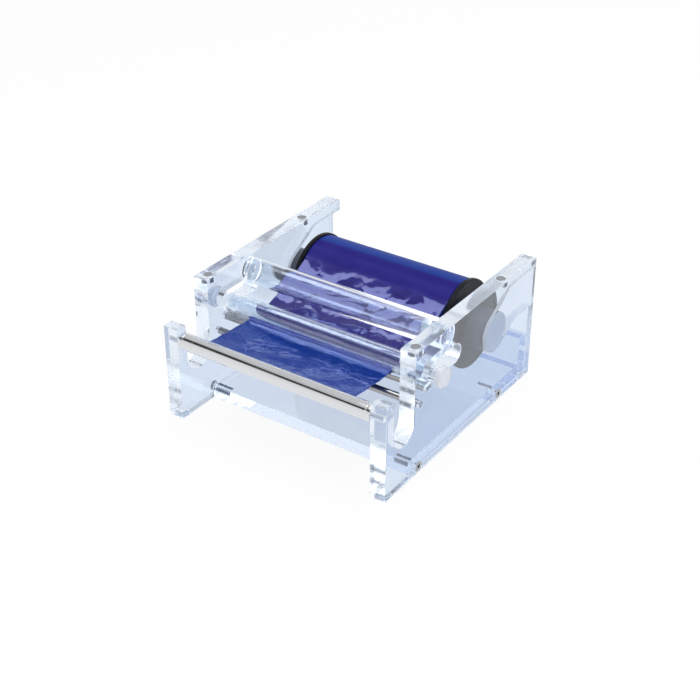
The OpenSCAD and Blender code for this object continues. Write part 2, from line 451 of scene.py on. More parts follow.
class Surface:
    """A material in the making: its tree, its shader and its coordinates."""

    def __init__(self, name: str) -> None:
        """Starts a material with a Principled shader.

        Args:
            name: The material's name.
        """
        self.material = bpy.data.materials.new(name)
        self.material.use_nodes = True
        self.bench = Bench(self.material.node_tree)
        self.shader = self.bench.add("ShaderNodeBsdfPrincipled")
        self.place = self.bench.add("ShaderNodeTexCoord").outputs["Object"]
        self.out = self.bench.add("ShaderNodeOutputMaterial")
        self.bench.join(self.shader.outputs[0], self.out.inputs["Surface"])

    def group(self, tree: Tree, **inputs: object) -> Node:
        """Places a shared effect in the material, on Object coordinates.

        Args:
            tree: The shader group.
            inputs: Values of its other inputs.

        Returns:
            The group node.
        """
        node = self.bench.add("ShaderNodeGroup", node_tree=tree)
        return self.bench.feed(node, Vector=self.place, **inputs)

    def blend(self, mask: Socket, low: object, high: object) -> Socket:
        """Mixes two colours by a mask.

        Args:
            mask: Where the second colour shows.
            low: The first colour, or the output socket that gives it.
            high: The second colour, or the output socket that gives it.

        Returns:
            The mixed colour.
        """
        mix = self.bench.add("ShaderNodeMix", data_type="RGBA")
        # A Mix node keeps its colours in inputs 6 and 7 and in output 2.
        for index, value in ((0, mask), (6, low), (7, high)):
            self.bench.fill(mix.inputs[index], value)
        return mix.outputs[2]

    def bump(self, height: Socket, strength: float, distance: float) -> None:
        """Puts a bump on the shader's normal.

        Args:
            height: The height field.
            strength: Share of the bump that shows.
            distance: Height of the field in metres.
        """
        node = self.bench.add("ShaderNodeBump")
        self.bench.feed(node, Height=height, Strength=strength, Distance=distance)
        self.bench.join(node.outputs[0], self.shader.inputs["Normal"])


@dataclass(frozen=True)
class ClearAcrylic:
    """Cast acrylic with polished faces and faint touch marks.

    Lamp light passes through it. Light trapped in it comes out once, as a painted glow in a colour of
    its own:
    most of such a ray goes straight on into the dark, and the small rest glows by as much more.
    """

    name: str
    tint: Colour
    tint_worn: Colour
    polish: float
    smudge: float
    trapped_light: Colour = (0.83, 0.87, 0.93, 1.0)
    frost: float = 0.0
    bending: float = 1.49
    sent_on: float = 0.9

    def material(self, effects: ShaderEffects) -> Material:
        """Builds the finish.

        Args:
            effects: The shared shader groups.

        Returns:
            The material.
        """
        made = Surface(self.name)
        bench = made.bench
        marks = made.group(effects.handling, Scale=38.0, Low=self.polish, High=self.smudge)
        path = bench.add("ShaderNodeLightPath")
        trapped = bench.trapped(path)
        first_wall = bench.maths("LESS_THAN", path.outputs["Transparent Depth"], 0.5)
        coming_out = bench.maths("MULTIPLY", trapped, first_wall)
        bench.feed(
            made.shader,
            Base_Color=made.blend(marks.outputs["Mask"], self.tint, self.tint_worn),
            Roughness=marks.outputs["Roughness"],
            IOR=self.bending,
            Transmission_Weight=1.0 - self.frost,
            # Painted glow: light trapped in the acrylic comes out once in the trapped light's colour.
            Emission_Color=made.blend(coming_out, BLACK, self.trapped_light),
            Emission_Strength=1.0 / (1.0 - self.sent_on),
        )
        made.material.cycles.emission_sampling = "NONE"
        share = bench.maths("MULTIPLY", trapped, self.sent_on)
        passing = bench.maths("MAXIMUM", share, path.outputs["Is Shadow Ray"])
        through = bench.add("ShaderNodeBsdfTransparent")
        bench.feed(through, Color=self.tint)
        bench.join(bench.mix_shaders(passing, made.shader, through), made.out.inputs["Surface"])
        return made.material


@dataclass(frozen=True)
class DrawnSteel:
    """Steel bar with fine lines along its length."""

    name: str
    colour: Colour
    shade: Colour
    low: float
    high: float
    depth: float
    line_scale: float = 2600.0
    line_rough: float = 0.12

    def material(self, effects: ShaderEffects) -> Material:
        """Builds the finish.

        Args:
            effects: The shared shader groups.

        Returns:
            The material.
        """
        made = Surface(self.name)
        lines = made.group(effects.brushed, Scale=self.line_scale)
        marks = made.group(effects.handling, Scale=70.0, Low=self.low, High=self.high)
        grooves = lines.outputs["Lines"]
        spread = made.bench.maths("MULTIPLY_ADD", grooves, self.line_rough, marks.outputs["Roughness"])
        rough = made.bench.maths("SUBTRACT", spread, 0.05)
        made.bench.feed(
            made.shader,
            Base_Color=made.blend(grooves, self.shade, self.colour),
            Metallic=1.0,
            Roughness=rough,
        )
        made.bump(grooves, 0.35, self.depth)
        return made.material


@dataclass(frozen=True)
class LacqueredFoil:
    """Thin aluminium foil under a clear tinted lacquer.

    It changes along Y, in metres: at the press roller, over the crown of the roll, and where the
    foil comes off the roll, behind which it lies tight and has little gloss. In front of the press
    roller and past the crown, a painted reflection gives it a lighter blue.
    """

    name: str
    colour: Colour
    flat_colour: Colour
    crease_colour: Colour
    crease_scale: float
    crease_depth: float
    low: float
    high: float
    press_y: Pair = (-0.05, -0.03)
    crown_y: Pair = (0.0465, 0.0415)
    tight_y: Pair = (0.029, 0.025)
    tight_gloss: float = 0.03
    tight_rough: float = 0.35
    front_gloss: float = 0.4
    calm_behind: float = 0.85

    def material(self, effects: ShaderEffects) -> Material:
        """Builds the finish; a painted reflection makes it a lighter blue in front of the press roller
        and past the crown of the roll, and painted highlights lighten its crease ridges.

        Args:
            effects: The shared shader groups.

        Returns:
            The material.
        """
        made = Surface(self.name)
        bench = made.bench
        creases = made.group(effects.creases, Scale=self.crease_scale)
        marks = made.group(effects.handling, Scale=55.0, Low=self.low, High=self.high)
        rolled = made.group(effects.brushed, Scale=900.0)
        slack = bench.add("ShaderNodeAttribute", attribute_name="slack").outputs["Fac"]
        place = bench.add("ShaderNodeSeparateXYZ")
        bench.join(made.place, place.inputs[0])
        y = place.outputs["Y"]
        behind = bench.ease(y, *self.press_y)
        below = bench.ease(y, *self.crown_y)
        wound = bench.maths("MULTIPLY", behind, below)
        gloss = bench.add("ShaderNodeMapRange")
        start, end = self.tight_y
        bench.feed(gloss, Value=y, From_Min=start, From_Max=end, To_Min=self.tight_gloss, To_Max=1.0)
        front_gloss = bench.maths("MULTIPLY_ADD", behind, 1.0 - self.front_gloss, self.front_gloss)
        coat = bench.maths("MULTIPLY", gloss.outputs[0], front_gloss)
        tight = bench.maths("SUBTRACT", 1.0, gloss.outputs[0])
        rough = bench.maths("MULTIPLY_ADD", tight, self.tight_rough, marks.outputs["Roughness"])
        free = bench.maths("MULTIPLY_ADD", behind, -self.calm_behind, 1.0)
        loose = bench.maths("MULTIPLY", slack, free)
        ridges = bench.maths("MULTIPLY", creases.outputs["Ridges"], loose)
        # Painted highlight: the crease ridges are lightened toward the crease highlight colour.
        painted_crease_highlight = bench.maths("MULTIPLY", ridges, 0.7)
        grain = bench.maths("MULTIPLY", rolled.outputs["Lines"], 0.03)
        folded = bench.maths("MULTIPLY", creases.outputs["Height"], loose)
        height = bench.maths("ADD", folded, grain)
        # Painted reflection: the lighter reflection colour shows where wound is 0, in front of the press
        # roller and past the crown.
        lacquer = made.blend(wound, self.flat_colour, self.colour)
        bench.feed(
            made.shader,
            Base_Color=made.blend(painted_crease_highlight, lacquer, self.crease_colour),
            Metallic=0.25,
            Roughness=rough,
            Specular_IOR_Level=0.1,
            Coat_Weight=coat,
            Coat_Roughness=0.07,
            Coat_IOR=1.4,
        )
        made.bump(height, 0.6, self.crease_depth)
        return made.material


@dataclass(frozen=True)
class MouldedPlastic:
    """Satin moulded plastic with a fine grain."""

    name: str
    colour: Colour
    shade: Colour
    grain_scale: float
    grain_depth: float
    low: float
    high: float
    shine: float = 0.5

    def material(self, effects: ShaderEffects) -> Material:
        """Builds the finish.

        Args:
            effects: The shared shader groups.

        Returns:
            The material.
        """
        made = Surface(self.name)
        grain = made.group(effects.grain, Scale=self.grain_scale)
        marks = made.group(effects.handling, Scale=60.0, Low=self.low, High=self.high)
        made.bench.feed(
            made.shader,
            Base_Color=made.blend(grain.outputs["Shade"], self.shade, self.colour),
            Roughness=marks.outputs["Roughness"],
            Specular_IOR_Level=self.shine,
        )
        made.bump(grain.outputs["Height"], 0.5, self.grain_depth)
        return made.material


@dataclass(frozen=True)
class WoundCard:
    """Grey-brown card with short fibres, as it is wound into tubes."""

    name: str
    colour: Colour
    fibre: Colour

    def material(self, effects: ShaderEffects) -> Material:
        """Builds the finish.

        Args:
            effects: The shared shader groups.

        Returns:
            The material.
        """
        made = Surface(self.name)
        marks = made.group(effects.handling, Scale=240.0, Low=0.75, High=0.92)
        fibres = made.group(effects.grain, Scale=1500.0)
        made.bench.feed(
            made.shader,
            Base_Color=made.blend(fibres.outputs["Shade"], self.fibre, self.colour),
            Roughness=marks.outputs["Roughness"],
        )
        made.bump(fibres.outputs["Height"], 0.4, 0.00008)
        return made.material


class Palette:
    """Every finish of the dispenser, built once."""

    def __init__(self, effects: ShaderEffects) -> None:
        """Builds the materials.

        Args:
            effects: The shared shader groups.
        """
        self.sheet = ClearAcrylic(
            name="sheet_acrylic",
            tint=(0.70, 0.785, 0.92, 1.0),
            tint_worn=(0.66, 0.75, 0.89, 1.0),
            polish=0.0,
            smudge=0.035,
        ).material(effects)
        self.roller = ClearAcrylic(
            name="roller_acrylic",
            tint=(0.90, 0.94, 0.98, 1.0),
            tint_worn=(0.86, 0.91, 0.96, 1.0),
            polish=0.0,
            smudge=0.03,
            # A painted glow brighter than white, which draws bright lines in the clear rollers.
            trapped_light=(1.3, 1.3, 1.3, 1.0),
        ).material(effects)
        self.knob = ClearAcrylic(
            name="knob_acrylic",
            tint=(0.95, 0.96, 1.0, 1.0),
            tint_worn=(0.92, 0.93, 0.98, 1.0),
            polish=0.32,
            smudge=0.44,
            frost=0.35,
        ).material(effects)
        self.bright_steel = DrawnSteel(
            name="polished_steel",
            colour=(0.76, 0.77, 0.80, 1.0),
            shade=(0.68, 0.69, 0.72, 1.0),
            low=0.10,
            high=0.17,
            depth=0.000003,
        ).material(effects)
        self.screw_steel = DrawnSteel(
            name="screw_steel",
            colour=(0.42, 0.43, 0.46, 1.0),
            shade=(0.32, 0.33, 0.36, 1.0),
            low=0.22,
            high=0.32,
            depth=0.000003,
        ).material(effects)
        self.dark_steel = DrawnSteel(
            name="dark_steel",
            colour=(0.44, 0.44, 0.45, 1.0),
            shade=(0.30, 0.30, 0.31, 1.0),
            low=0.2,
            high=0.3,
            depth=0.00001,
        ).material(effects)
        self.roll_foil = LacqueredFoil(
            name="roll_foil",
            colour=(0.008, 0.040, 0.29, 1.0),
            flat_colour=(0.008, 0.040, 0.29, 1.0),
            crease_colour=(0.03, 0.06, 0.36, 1.0),
            crease_scale=62.0,
            crease_depth=0.00012,
            low=0.38,
            high=0.48,
        ).material(effects)
        self.drawn_foil = LacqueredFoil(
            name="drawn_foil",
            colour=(0.009, 0.005, 0.14, 1.0),
            flat_colour=(0.004, 0.030, 0.23, 1.0),
            crease_colour=(0.12, 0.17, 0.52, 1.0),
            crease_scale=85.0,
            crease_depth=0.0004,
            low=0.17,
            high=0.26,
        ).material(effects)
        self.black_plastic = MouldedPlastic(
            name="black_plastic",
            colour=(0.010, 0.010, 0.013, 1.0),
            shade=(0.006, 0.006, 0.008, 1.0),
            grain_scale=2200.0,
            grain_depth=0.00003,
            low=0.40,
            high=0.55,
            shine=0.14,
        ).material(effects)
        self.grey_plastic = MouldedPlastic(
            name="grey_plastic",
            colour=(0.085, 0.09, 0.115, 1.0),
            shade=(0.07, 0.075, 0.10, 1.0),
            grain_scale=2000.0,
            grain_depth=0.00003,
            low=0.32,
            high=0.48,
        ).material(effects)
        self.plug_grey = MouldedPlastic(
            name="plug_grey",
            colour=(0.26, 0.28, 0.30, 1.0),
            shade=(0.21, 0.225, 0.24, 1.0),
            grain_scale=2000.0,
            grain_depth=0.00003,
            low=0.34,
            high=0.48,
        ).material(effects)
        self.rubber = ClearAcrylic(
            name="clear_rubber",
            tint=(0.80, 0.84, 0.88, 1.0),
            tint_worn=(0.70, 0.74, 0.78, 1.0),
            polish=0.2,
            smudge=0.38,
            trapped_light=(0.5, 0.52, 0.55, 1.0),
        ).material(effects)
        self.milled = ClearAcrylic(
            name="milled_acrylic",
            tint=WHITE,
            tint_worn=(0.97, 0.98, 1.0, 1.0),
            polish=0.42,
            smudge=0.55,
            frost=0.6,
        ).material(effects)
        # Satin plate edges; their tint, paler than the sheet's, and their trapped light are a painted
        # glow that makes the edges pale.
        self.edge = ClearAcrylic(
            name="edge_acrylic",
            tint=(0.85, 0.90, 0.965, 1.0),
            tint_worn=(0.80, 0.865, 0.945, 1.0),
            polish=0.18,
            smudge=0.30,
            trapped_light=(0.80, 0.86, 0.93, 1.0),
        ).material(effects)
        self.hub_face = MouldedPlastic(
            name="hub_face",
            colour=(0.94, 0.95, 0.96, 1.0),
            shade=(0.88, 0.89, 0.91, 1.0),
            grain_scale=2000.0,
            grain_depth=0.00002,
            low=0.3,
            high=0.42,
        ).material(effects)
        self.card = WoundCard(
            name="wound_card",
            colour=(0.46, 0.36, 0.25, 1.0),
            fibre=(0.34, 0.26, 0.18, 1.0),
        ).material(effects)


def soften(profile: Sequence[Pair], radius: float, steps: int = 4) -> list[Pair]:
    """Rounds the inner corners of an open profile.

    Args:
        profile: Points as place along X and radius, in mm.
        radius: Rounding of a corner in mm, less where a side is short.
        steps: Points on each rounding, less one.

    Returns:
        The rounded profile.
    """
    rounded = [profile[0]]
    for before, corner, after in zip(profile, profile[1:], profile[2:]):
        here = Vector(corner)
        back = Vector(before) - here
        ahead = Vector(after) - here
        cut = min(radius, 0.45 * back.length, 0.45 * ahead.length)
        start = here + back.normalized() * cut
        end = here + ahead.normalized() * cut
        for step in range(steps + 1):
            u = step / steps
            v = 1.0 - u
            point = v * v * start + 2.0 * u * v * here + u * u * end
            rounded.append((point.x, point.y))
    rounded.append(profile[-1])
    return rounded


def soften_loop(loop: Sequence[Pair], radius: float, steps: int = 4) -> list[Pair]:
    """Returns a closed profile with all its corners rounded, as soften does it."""
    return soften([*loop, loop[0], loop[1]], radius, steps)[1:-1]


def both_ends(half: Sequence[Pair]) -> list[Pair]:
    """Returns the whole profile of a bar whose right-hand half is drawn from its end inwards."""
    return [*Side.LEFT.place(half), *reversed(half)]


def stretch(start: Pair, end: Pair, count: int) -> list[Pair]:
    """Spaces points evenly along a straight line.

    Args:
        start: The first point.
        end: The last point.
        count: How many steps lie between them.

    Returns:
        The points, with both ends.
    """
    return [
        (start[0] + (end[0] - start[0]) * i / count, start[1] + (end[1] - start[1]) * i / count)
        for i in range(count + 1)
    ]


def bridge(bm: bmesh.types.BMesh, first: list[Vert], second: list[Vert]) -> None:
    """Joins two rings of a turned shape with faces.

    Args:
        bm: The mesh in the making.
        first: One ring, or a single point on the axis.
        second: The next ring, or a single point on the axis.
    """
    count = max(len(first), len(second))
    for i in range(count):
        j = (i + 1) % count
        if len(first) == 1 and len(second) > 1:
            bm.faces.new((first[0], second[i], second[j]))
        elif len(second) == 1 and len(first) > 1:
            bm.faces.new((first[i], first[j], second[0]))
        elif count > 1:
            bm.faces.new((first[i], first[j], second[j], second[i]))


def turn(profile: Sequence[Pair], axis: Pair, closed: bool = False, segments: int = 112) -> Mesh:
    """Turns a profile round an axis along X.

    Args:
        profile: Points as place along X and radius, in mm.
        axis: Y and Z of the axis, in mm.
        closed: Whether the profile's last point joins its first.
        segments: Sides of the round.

    Returns:
        The mesh, with its normals outwards.
    """
    bm = bmesh.new()
    rings = []
    for x, r in profile:
        if r < ON_AXIS:
            rings.append([bm.verts.new((x * MM, axis[0] * MM, axis[1] * MM))])
            continue
        ring = []
        for i in range(segments):
            a = 2.0 * math.pi * i / segments
            y = axis[0] + r * math.cos(a)
            z = axis[1] + r * math.sin(a)
            ring.append(bm.verts.new((x * MM, y * MM, z * MM)))
        rings.append(ring)
    for first, second in zip(rings, rings[1:]):
        bridge(bm, first, second)
    if closed:
        bridge(bm, rings[-1], rings[0])
    bmesh.ops.recalc_face_normals(bm, faces=bm.faces)
    return plain_mesh(bm)


def plain_mesh(bm: bmesh.types.BMesh, sharp: float = 32.0) -> Mesh:
    """Turns a mesh in the making into mesh data that is smooth up to an angle.

    Args:
        bm: The mesh in the making, freed here.
        sharp: Angle in degrees past which an edge stays sharp.

    Returns:
        The mesh data.
    """
    mesh = bpy.data.meshes.new("piece")
    bm.to_mesh(mesh)
    bm.free()
    mesh.shade_smooth()
    mesh.set_sharp_from_angle(angle=math.radians(sharp))
    return mesh


def stand_alone(name: str, mesh: Mesh) -> Object:
    """Makes an object of a mesh and links it to the scene.

    Args:
        name: The object's name.
        mesh: Its mesh.

    Returns:
        The object.
    """
    obj = bpy.data.objects.new(name, mesh)
    bpy.context.scene.collection.objects.link(obj)
    return obj


def settle(obj: Object) -> None:
    """Turns an object's modified shape into its own plain mesh and drops its modifiers.

    Args:
        obj: The object.
    """
    graph = bpy.context.evaluated_depsgraph_get()
    mesh = bpy.data.meshes.new_from_object(obj.evaluated_get(graph))
    obj.modifiers.clear()
    obj.data = mesh


@dataclass
class Workshop:
    """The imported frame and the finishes, and how a piece takes its place on them."""

    nodes: dict[str, Object]
    palette: Palette
    weld: float = 0.002
    end_play: float = 0.01
    flat_angle: float = 0.4
    corner_angle: float = 38.0
    edge_steps: int = 3

    @staticmethod
    def fit(obj: Object, material: Material, slot: Slot, body: Body, *nodes: str) -> None:
        """Gives a finished piece its material and body.

        Args:
            obj: The piece.
            material: Its finish.
            slot: The record's slot of that finish; not used.
            body: The body that it rides on.
            nodes: The CAD nodes that it stands for.
        """
        obj.data.materials.clear()
        obj.data.materials.append(material)
        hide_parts(*nodes)
        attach(obj, body.value)
        LOG.info("%s: %d faces, rides on %s", obj.name, len(obj.data.polygons), body.value)

    @staticmethod
    def refinish(obj: Object, material: Material, chosen: Callable[[Face], bool]) -> None:
        """Gives some faces of a fitted piece another finish.

        Args:
            obj: The piece.
            material: The other finish.
            chosen: Says whether a face takes it.
        """
        obj.data.materials.append(material)
        index = len(obj.data.materials) - 1
        for face in obj.data.polygons:
            if chosen(face):
                face.material_index = index

    def softened(self, node: str, name: str, width: float, draw_in: float = 0.0) -> Object:
        """Copies a CAD node's mesh and softens its edges.

        Args:
            node: The CAD node.
            name: The new piece's name.
            width: Width of the softened edges in mm.
            draw_in: How far its ends along X are drawn in, in mm.

        Returns:
            The new piece.
        """
        bm = bmesh.new()
        bm.from_mesh(self.nodes[node].data)
        bmesh.ops.remove_doubles(bm, verts=bm.verts, dist=self.weld * MM)
        flat = math.radians(self.flat_angle)
        bmesh.ops.dissolve_limit(bm, angle_limit=flat, verts=bm.verts, edges=bm.edges)
        reach = max(abs(v.co.x) for v in bm.verts)
        for v in bm.verts:
            if abs(v.co.x) > reach - self.end_play * MM:
                v.co.x -= math.copysign(draw_in * MM, v.co.x)
        obj = stand_alone(name, plain_mesh(bm))
        edge = obj.modifiers.new("edge", "BEVEL")
        edge.width = width * MM
        edge.segments = self.edge_steps
        edge.limit_method = "ANGLE"
        edge.angle_limit = math.radians(self.corner_angle)
        edge.harden_normals = True
        edge.use_clamp_overlap = False
        settle(obj)
        return obj


class RepeatTree:
    """Geometry nodes that set a fastener in a row on both sides."""

    def __init__(self) -> None:
        """Builds the tree with its named inputs."""
        self.tree = new_group(
            "fastener rows",
            "GeometryNodeTree",
            [
                ("Fastener", "INPUT", "NodeSocketGeometry"),
                ("Count", "INPUT", "NodeSocketInt"),
                ("First Right", "INPUT", "NodeSocketVector"),
                ("First Left", "INPUT", "NodeSocketVector"),
                ("Step", "INPUT", "NodeSocketVector"),
                ("Finish", "INPUT", "NodeSocketMaterial"),
                ("Row", "OUTPUT", "NodeSocketGeometry"),
            ],
        )
        bench = Bench(self.tree)
        given = bench.add("NodeGroupInput").outputs
        rows = bench.add("GeometryNodeJoinGeometry")
        for label, angle in (("First Right", 0.0), ("First Left", math.pi)):
            line = bench.add("GeometryNodeMeshLine")
            bench.feed(line, Count=given["Count"], Start_Location=given[label], Offset=given["Step"])
            placed = bench.add("GeometryNodeInstanceOnPoints")
            bench.feed(
                placed,
                Points=line.outputs[0],
                Instance=given["Fastener"],
                Rotation=(0.0, 0.0, angle),
            )
            bench.join(placed.outputs[0], rows.inputs[0])
        bench.hand_out(rows.outputs[0], given["Finish"], "Row")


class ThreadTree:
    """Geometry nodes that wind a screw thread along X onto a shank."""

    def __init__(self) -> None:
        """Builds the tree with its named inputs."""
        self.tree = new_group(
            "screw thread",
            "GeometryNodeTree",
            [
                ("Shank", "INPUT", "NodeSocketGeometry"),
                ("Turns", "INPUT", "NodeSocketFloat"),
                ("Radius", "INPUT", "NodeSocketFloat"),
                ("Length", "INPUT", "NodeSocketFloat"),
                ("Start", "INPUT", "NodeSocketVector"),
                ("Crest", "INPUT", "NodeSocketFloat"),
                ("Finish", "INPUT", "NodeSocketMaterial"),
                ("Screw", "OUTPUT", "NodeSocketGeometry"),
            ],
        )
        bench = Bench(self.tree)
        given = bench.add("NodeGroupInput").outputs
        helix = bench.add("GeometryNodeCurveSpiral")
        bench.feed(
            helix,
            Resolution=28,
            Rotations=given["Turns"],
            Start_Radius=given["Radius"],
            End_Radius=given["Radius"],
            Height=given["Length"],
        )
        section = bench.add("GeometryNodeCurvePrimitiveCircle")
        bench.feed(section, Resolution=5, Radius=given["Crest"])
        ridge = bench.add("GeometryNodeCurveToMesh")
        bench.feed(ridge, Curve=helix.outputs[0], Profile_Curve=section.outputs[0], Fill_Caps=True)
        laid = bench.add("GeometryNodeTransform")
        bench.feed(
            laid,
            Geometry=ridge.outputs[0],
            Translation=given["Start"],
            Rotation=(0.0, math.pi / 2, 0.0),
        )
        whole = bench.add("GeometryNodeJoinGeometry")
        bench.join(laid.outputs[0], whole.inputs[0])
        bench.join(given["Shank"], whole.inputs[0])
        bench.hand_out(whole.outputs[0], given["Finish"], "Screw")


class CreaseTree:
    """Geometry nodes that crease a foil along its normals where it is slack."""

    def __init__(self) -> None:
        """Builds the tree with its named inputs."""
        self.tree = new_group(
            "foil creasing",
            "GeometryNodeTree",
            [
                ("Foil", "INPUT", "NodeSocketGeometry"),
                ("Height", "INPUT", "NodeSocketFloat"),
                ("Facet Scale", "INPUT", "NodeSocketFloat"),
                ("Fold Scale", "INPUT", "NodeSocketFloat"),
                ("Seed", "INPUT", "NodeSocketFloat"),
                ("Finish", "INPUT", "NodeSocketMaterial"),
                ("Creased", "OUTPUT", "NodeSocketGeometry"),
            ],
        )
        bench = Bench(self.tree)
        given = bench.add("NodeGroupInput").outputs
        place = bench.add("GeometryNodeInputPosition").outputs[0]
        slack = bench.add("GeometryNodeInputNamedAttribute", data_type="FLOAT")
        slack.inputs["Name"].default_value = "slack"
        drift = bench.add("ShaderNodeTexNoise", noise_dimensions="4D")
        bench.feed(drift, Vector=place, W=given["Seed"], Scale=45.0, Detail=2.0)
        drawn = bench.vector("MULTIPLY", place, (0.7, 1.0, 1.0))
        swayed = bench.vector("MULTIPLY_ADD", drift.outputs[1], (0.02, 0.02, 0.02), drawn)
        facets = bench.add("ShaderNodeTexVoronoi", voronoi_dimensions="4D", feature="F1")
        bench.feed(facets, Vector=swayed, W=given["Seed"], Scale=given["Facet Scale"])
        folds = bench.add("ShaderNodeTexNoise", noise_dimensions="4D", noise_type="RIDGED_MULTIFRACTAL")
        bench.feed(folds, Vector=swayed, W=given["Seed"], Scale=given["Fold Scale"], Detail=1.5)
        small_scale = bench.maths("MULTIPLY", given["Facet Scale"], 2.6)
        small = bench.add("ShaderNodeTexVoronoi", voronoi_dimensions="4D", feature="F1")
        bench.feed(small, Vector=swayed, W=given["Seed"], Scale=small_scale)
        facet_part = bench.maths("MULTIPLY_ADD", facets.outputs[0], 1.2, -0.6)
        small_part = bench.maths("MULTIPLY_ADD", small.outputs[0], 0.18, facet_part)
        fold_part = bench.maths("MULTIPLY_ADD", folds.outputs[0], 0.5, -0.6)
        summed = bench.maths("ADD", small_part, fold_part)
        shape = bench.add("ShaderNodeClamp")
        bench.feed(shape, Value=summed, Min=-1.0, Max=1.0)
        raised = bench.maths("MULTIPLY", shape.outputs[0], given["Height"])
        amount = bench.maths("MULTIPLY", raised, slack.outputs[0])
        normal = bench.add("GeometryNodeInputNormal").outputs[0]
        push = bench.add("ShaderNodeVectorMath", operation="SCALE")
        bench.join(normal, push.inputs[0])
        bench.join(amount, push.inputs["Scale"])
        moved = bench.add("GeometryNodeSetPosition")
        bench.feed(moved, Geometry=given["Foil"], Offset=push.outputs[0])
        bench.hand_out(moved.outputs[0], given["Finish"], "Creased")


def run_tree(obj: Object, tree: Tree, **inputs: object) -> None:
    """Adds a geometry node tree to an object and sets its inputs.

    Args:
        obj: The object.
        tree: The tree.
        inputs: Values by input name, with _ for a space.
    """
    modifier = obj.modifiers.new(tree.name, "NODES")
    modifier.node_group = tree
    for item in tree.interface.items_tree:
        key = item.name.replace(" ", "_")
        if item.in_out == "INPUT" and key in inputs:
            modifier[item.identifier] = inputs[key]


@dataclass
class ClearBody:
    """The side plates, base panel and rear rail of clear sheet."""

    shop: Workshop
    edge: float = 0.45
    joint_gap: float = 0.04
    side_normal: float = 0.6
    pocket_x: float = 84.5
    pocket_y: Pair = (29.0, 95.5)
    pocket_z: Pair = (41.0, 89.0)

    def build(self) -> None:
        """Makes the four clear pieces with softened edges."""
        for side in Side:
            node = f"side_plate_{side.word}"
            plate = self.shop.softened(node, f"clear_plate_{side.word}", self.edge)
            self._fit(plate, node)
            self.shop.refinish(plate, self.shop.palette.edge, self._on_edge)
            self.shop.refinish(plate, self.shop.palette.milled, self._in_pocket)
        panel = self.shop.softened("base_panel", "clear_base", self.edge, self.joint_gap)
        self._fit(panel, "base_panel")
        rail = self.shop.softened("rear_rail", "clear_rail", self.edge, self.joint_gap)
        self._fit(rail, "rear_rail")

    def _fit(self, piece: Object, node: str) -> None:
        """Puts a clear piece in the place of its CAD node."""
        self.shop.fit(piece, self.shop.palette.sheet, Slot.ACRYLIC, Body.FRAME, node)

    def _on_edge(self, face: Face) -> bool:
        """Says whether a face of a plate belongs to its satin edges."""
        return abs(face.normal.x) <= self.side_normal

    def _in_pocket(self, face: Face) -> bool:
        """Says whether a face of a plate belongs to the matt milled wall of its roll pocket.

        Args:
            face: The face.

        Returns:
            Whether it does.
        """
        x, y, z = (c / MM for c in face.center)
        within = abs(x) < self.pocket_x and self.pocket_y[0] < y < self.pocket_y[1]
        return within and self.pocket_z[0] < z < self.pocket_z[1] and self._on_edge(face)


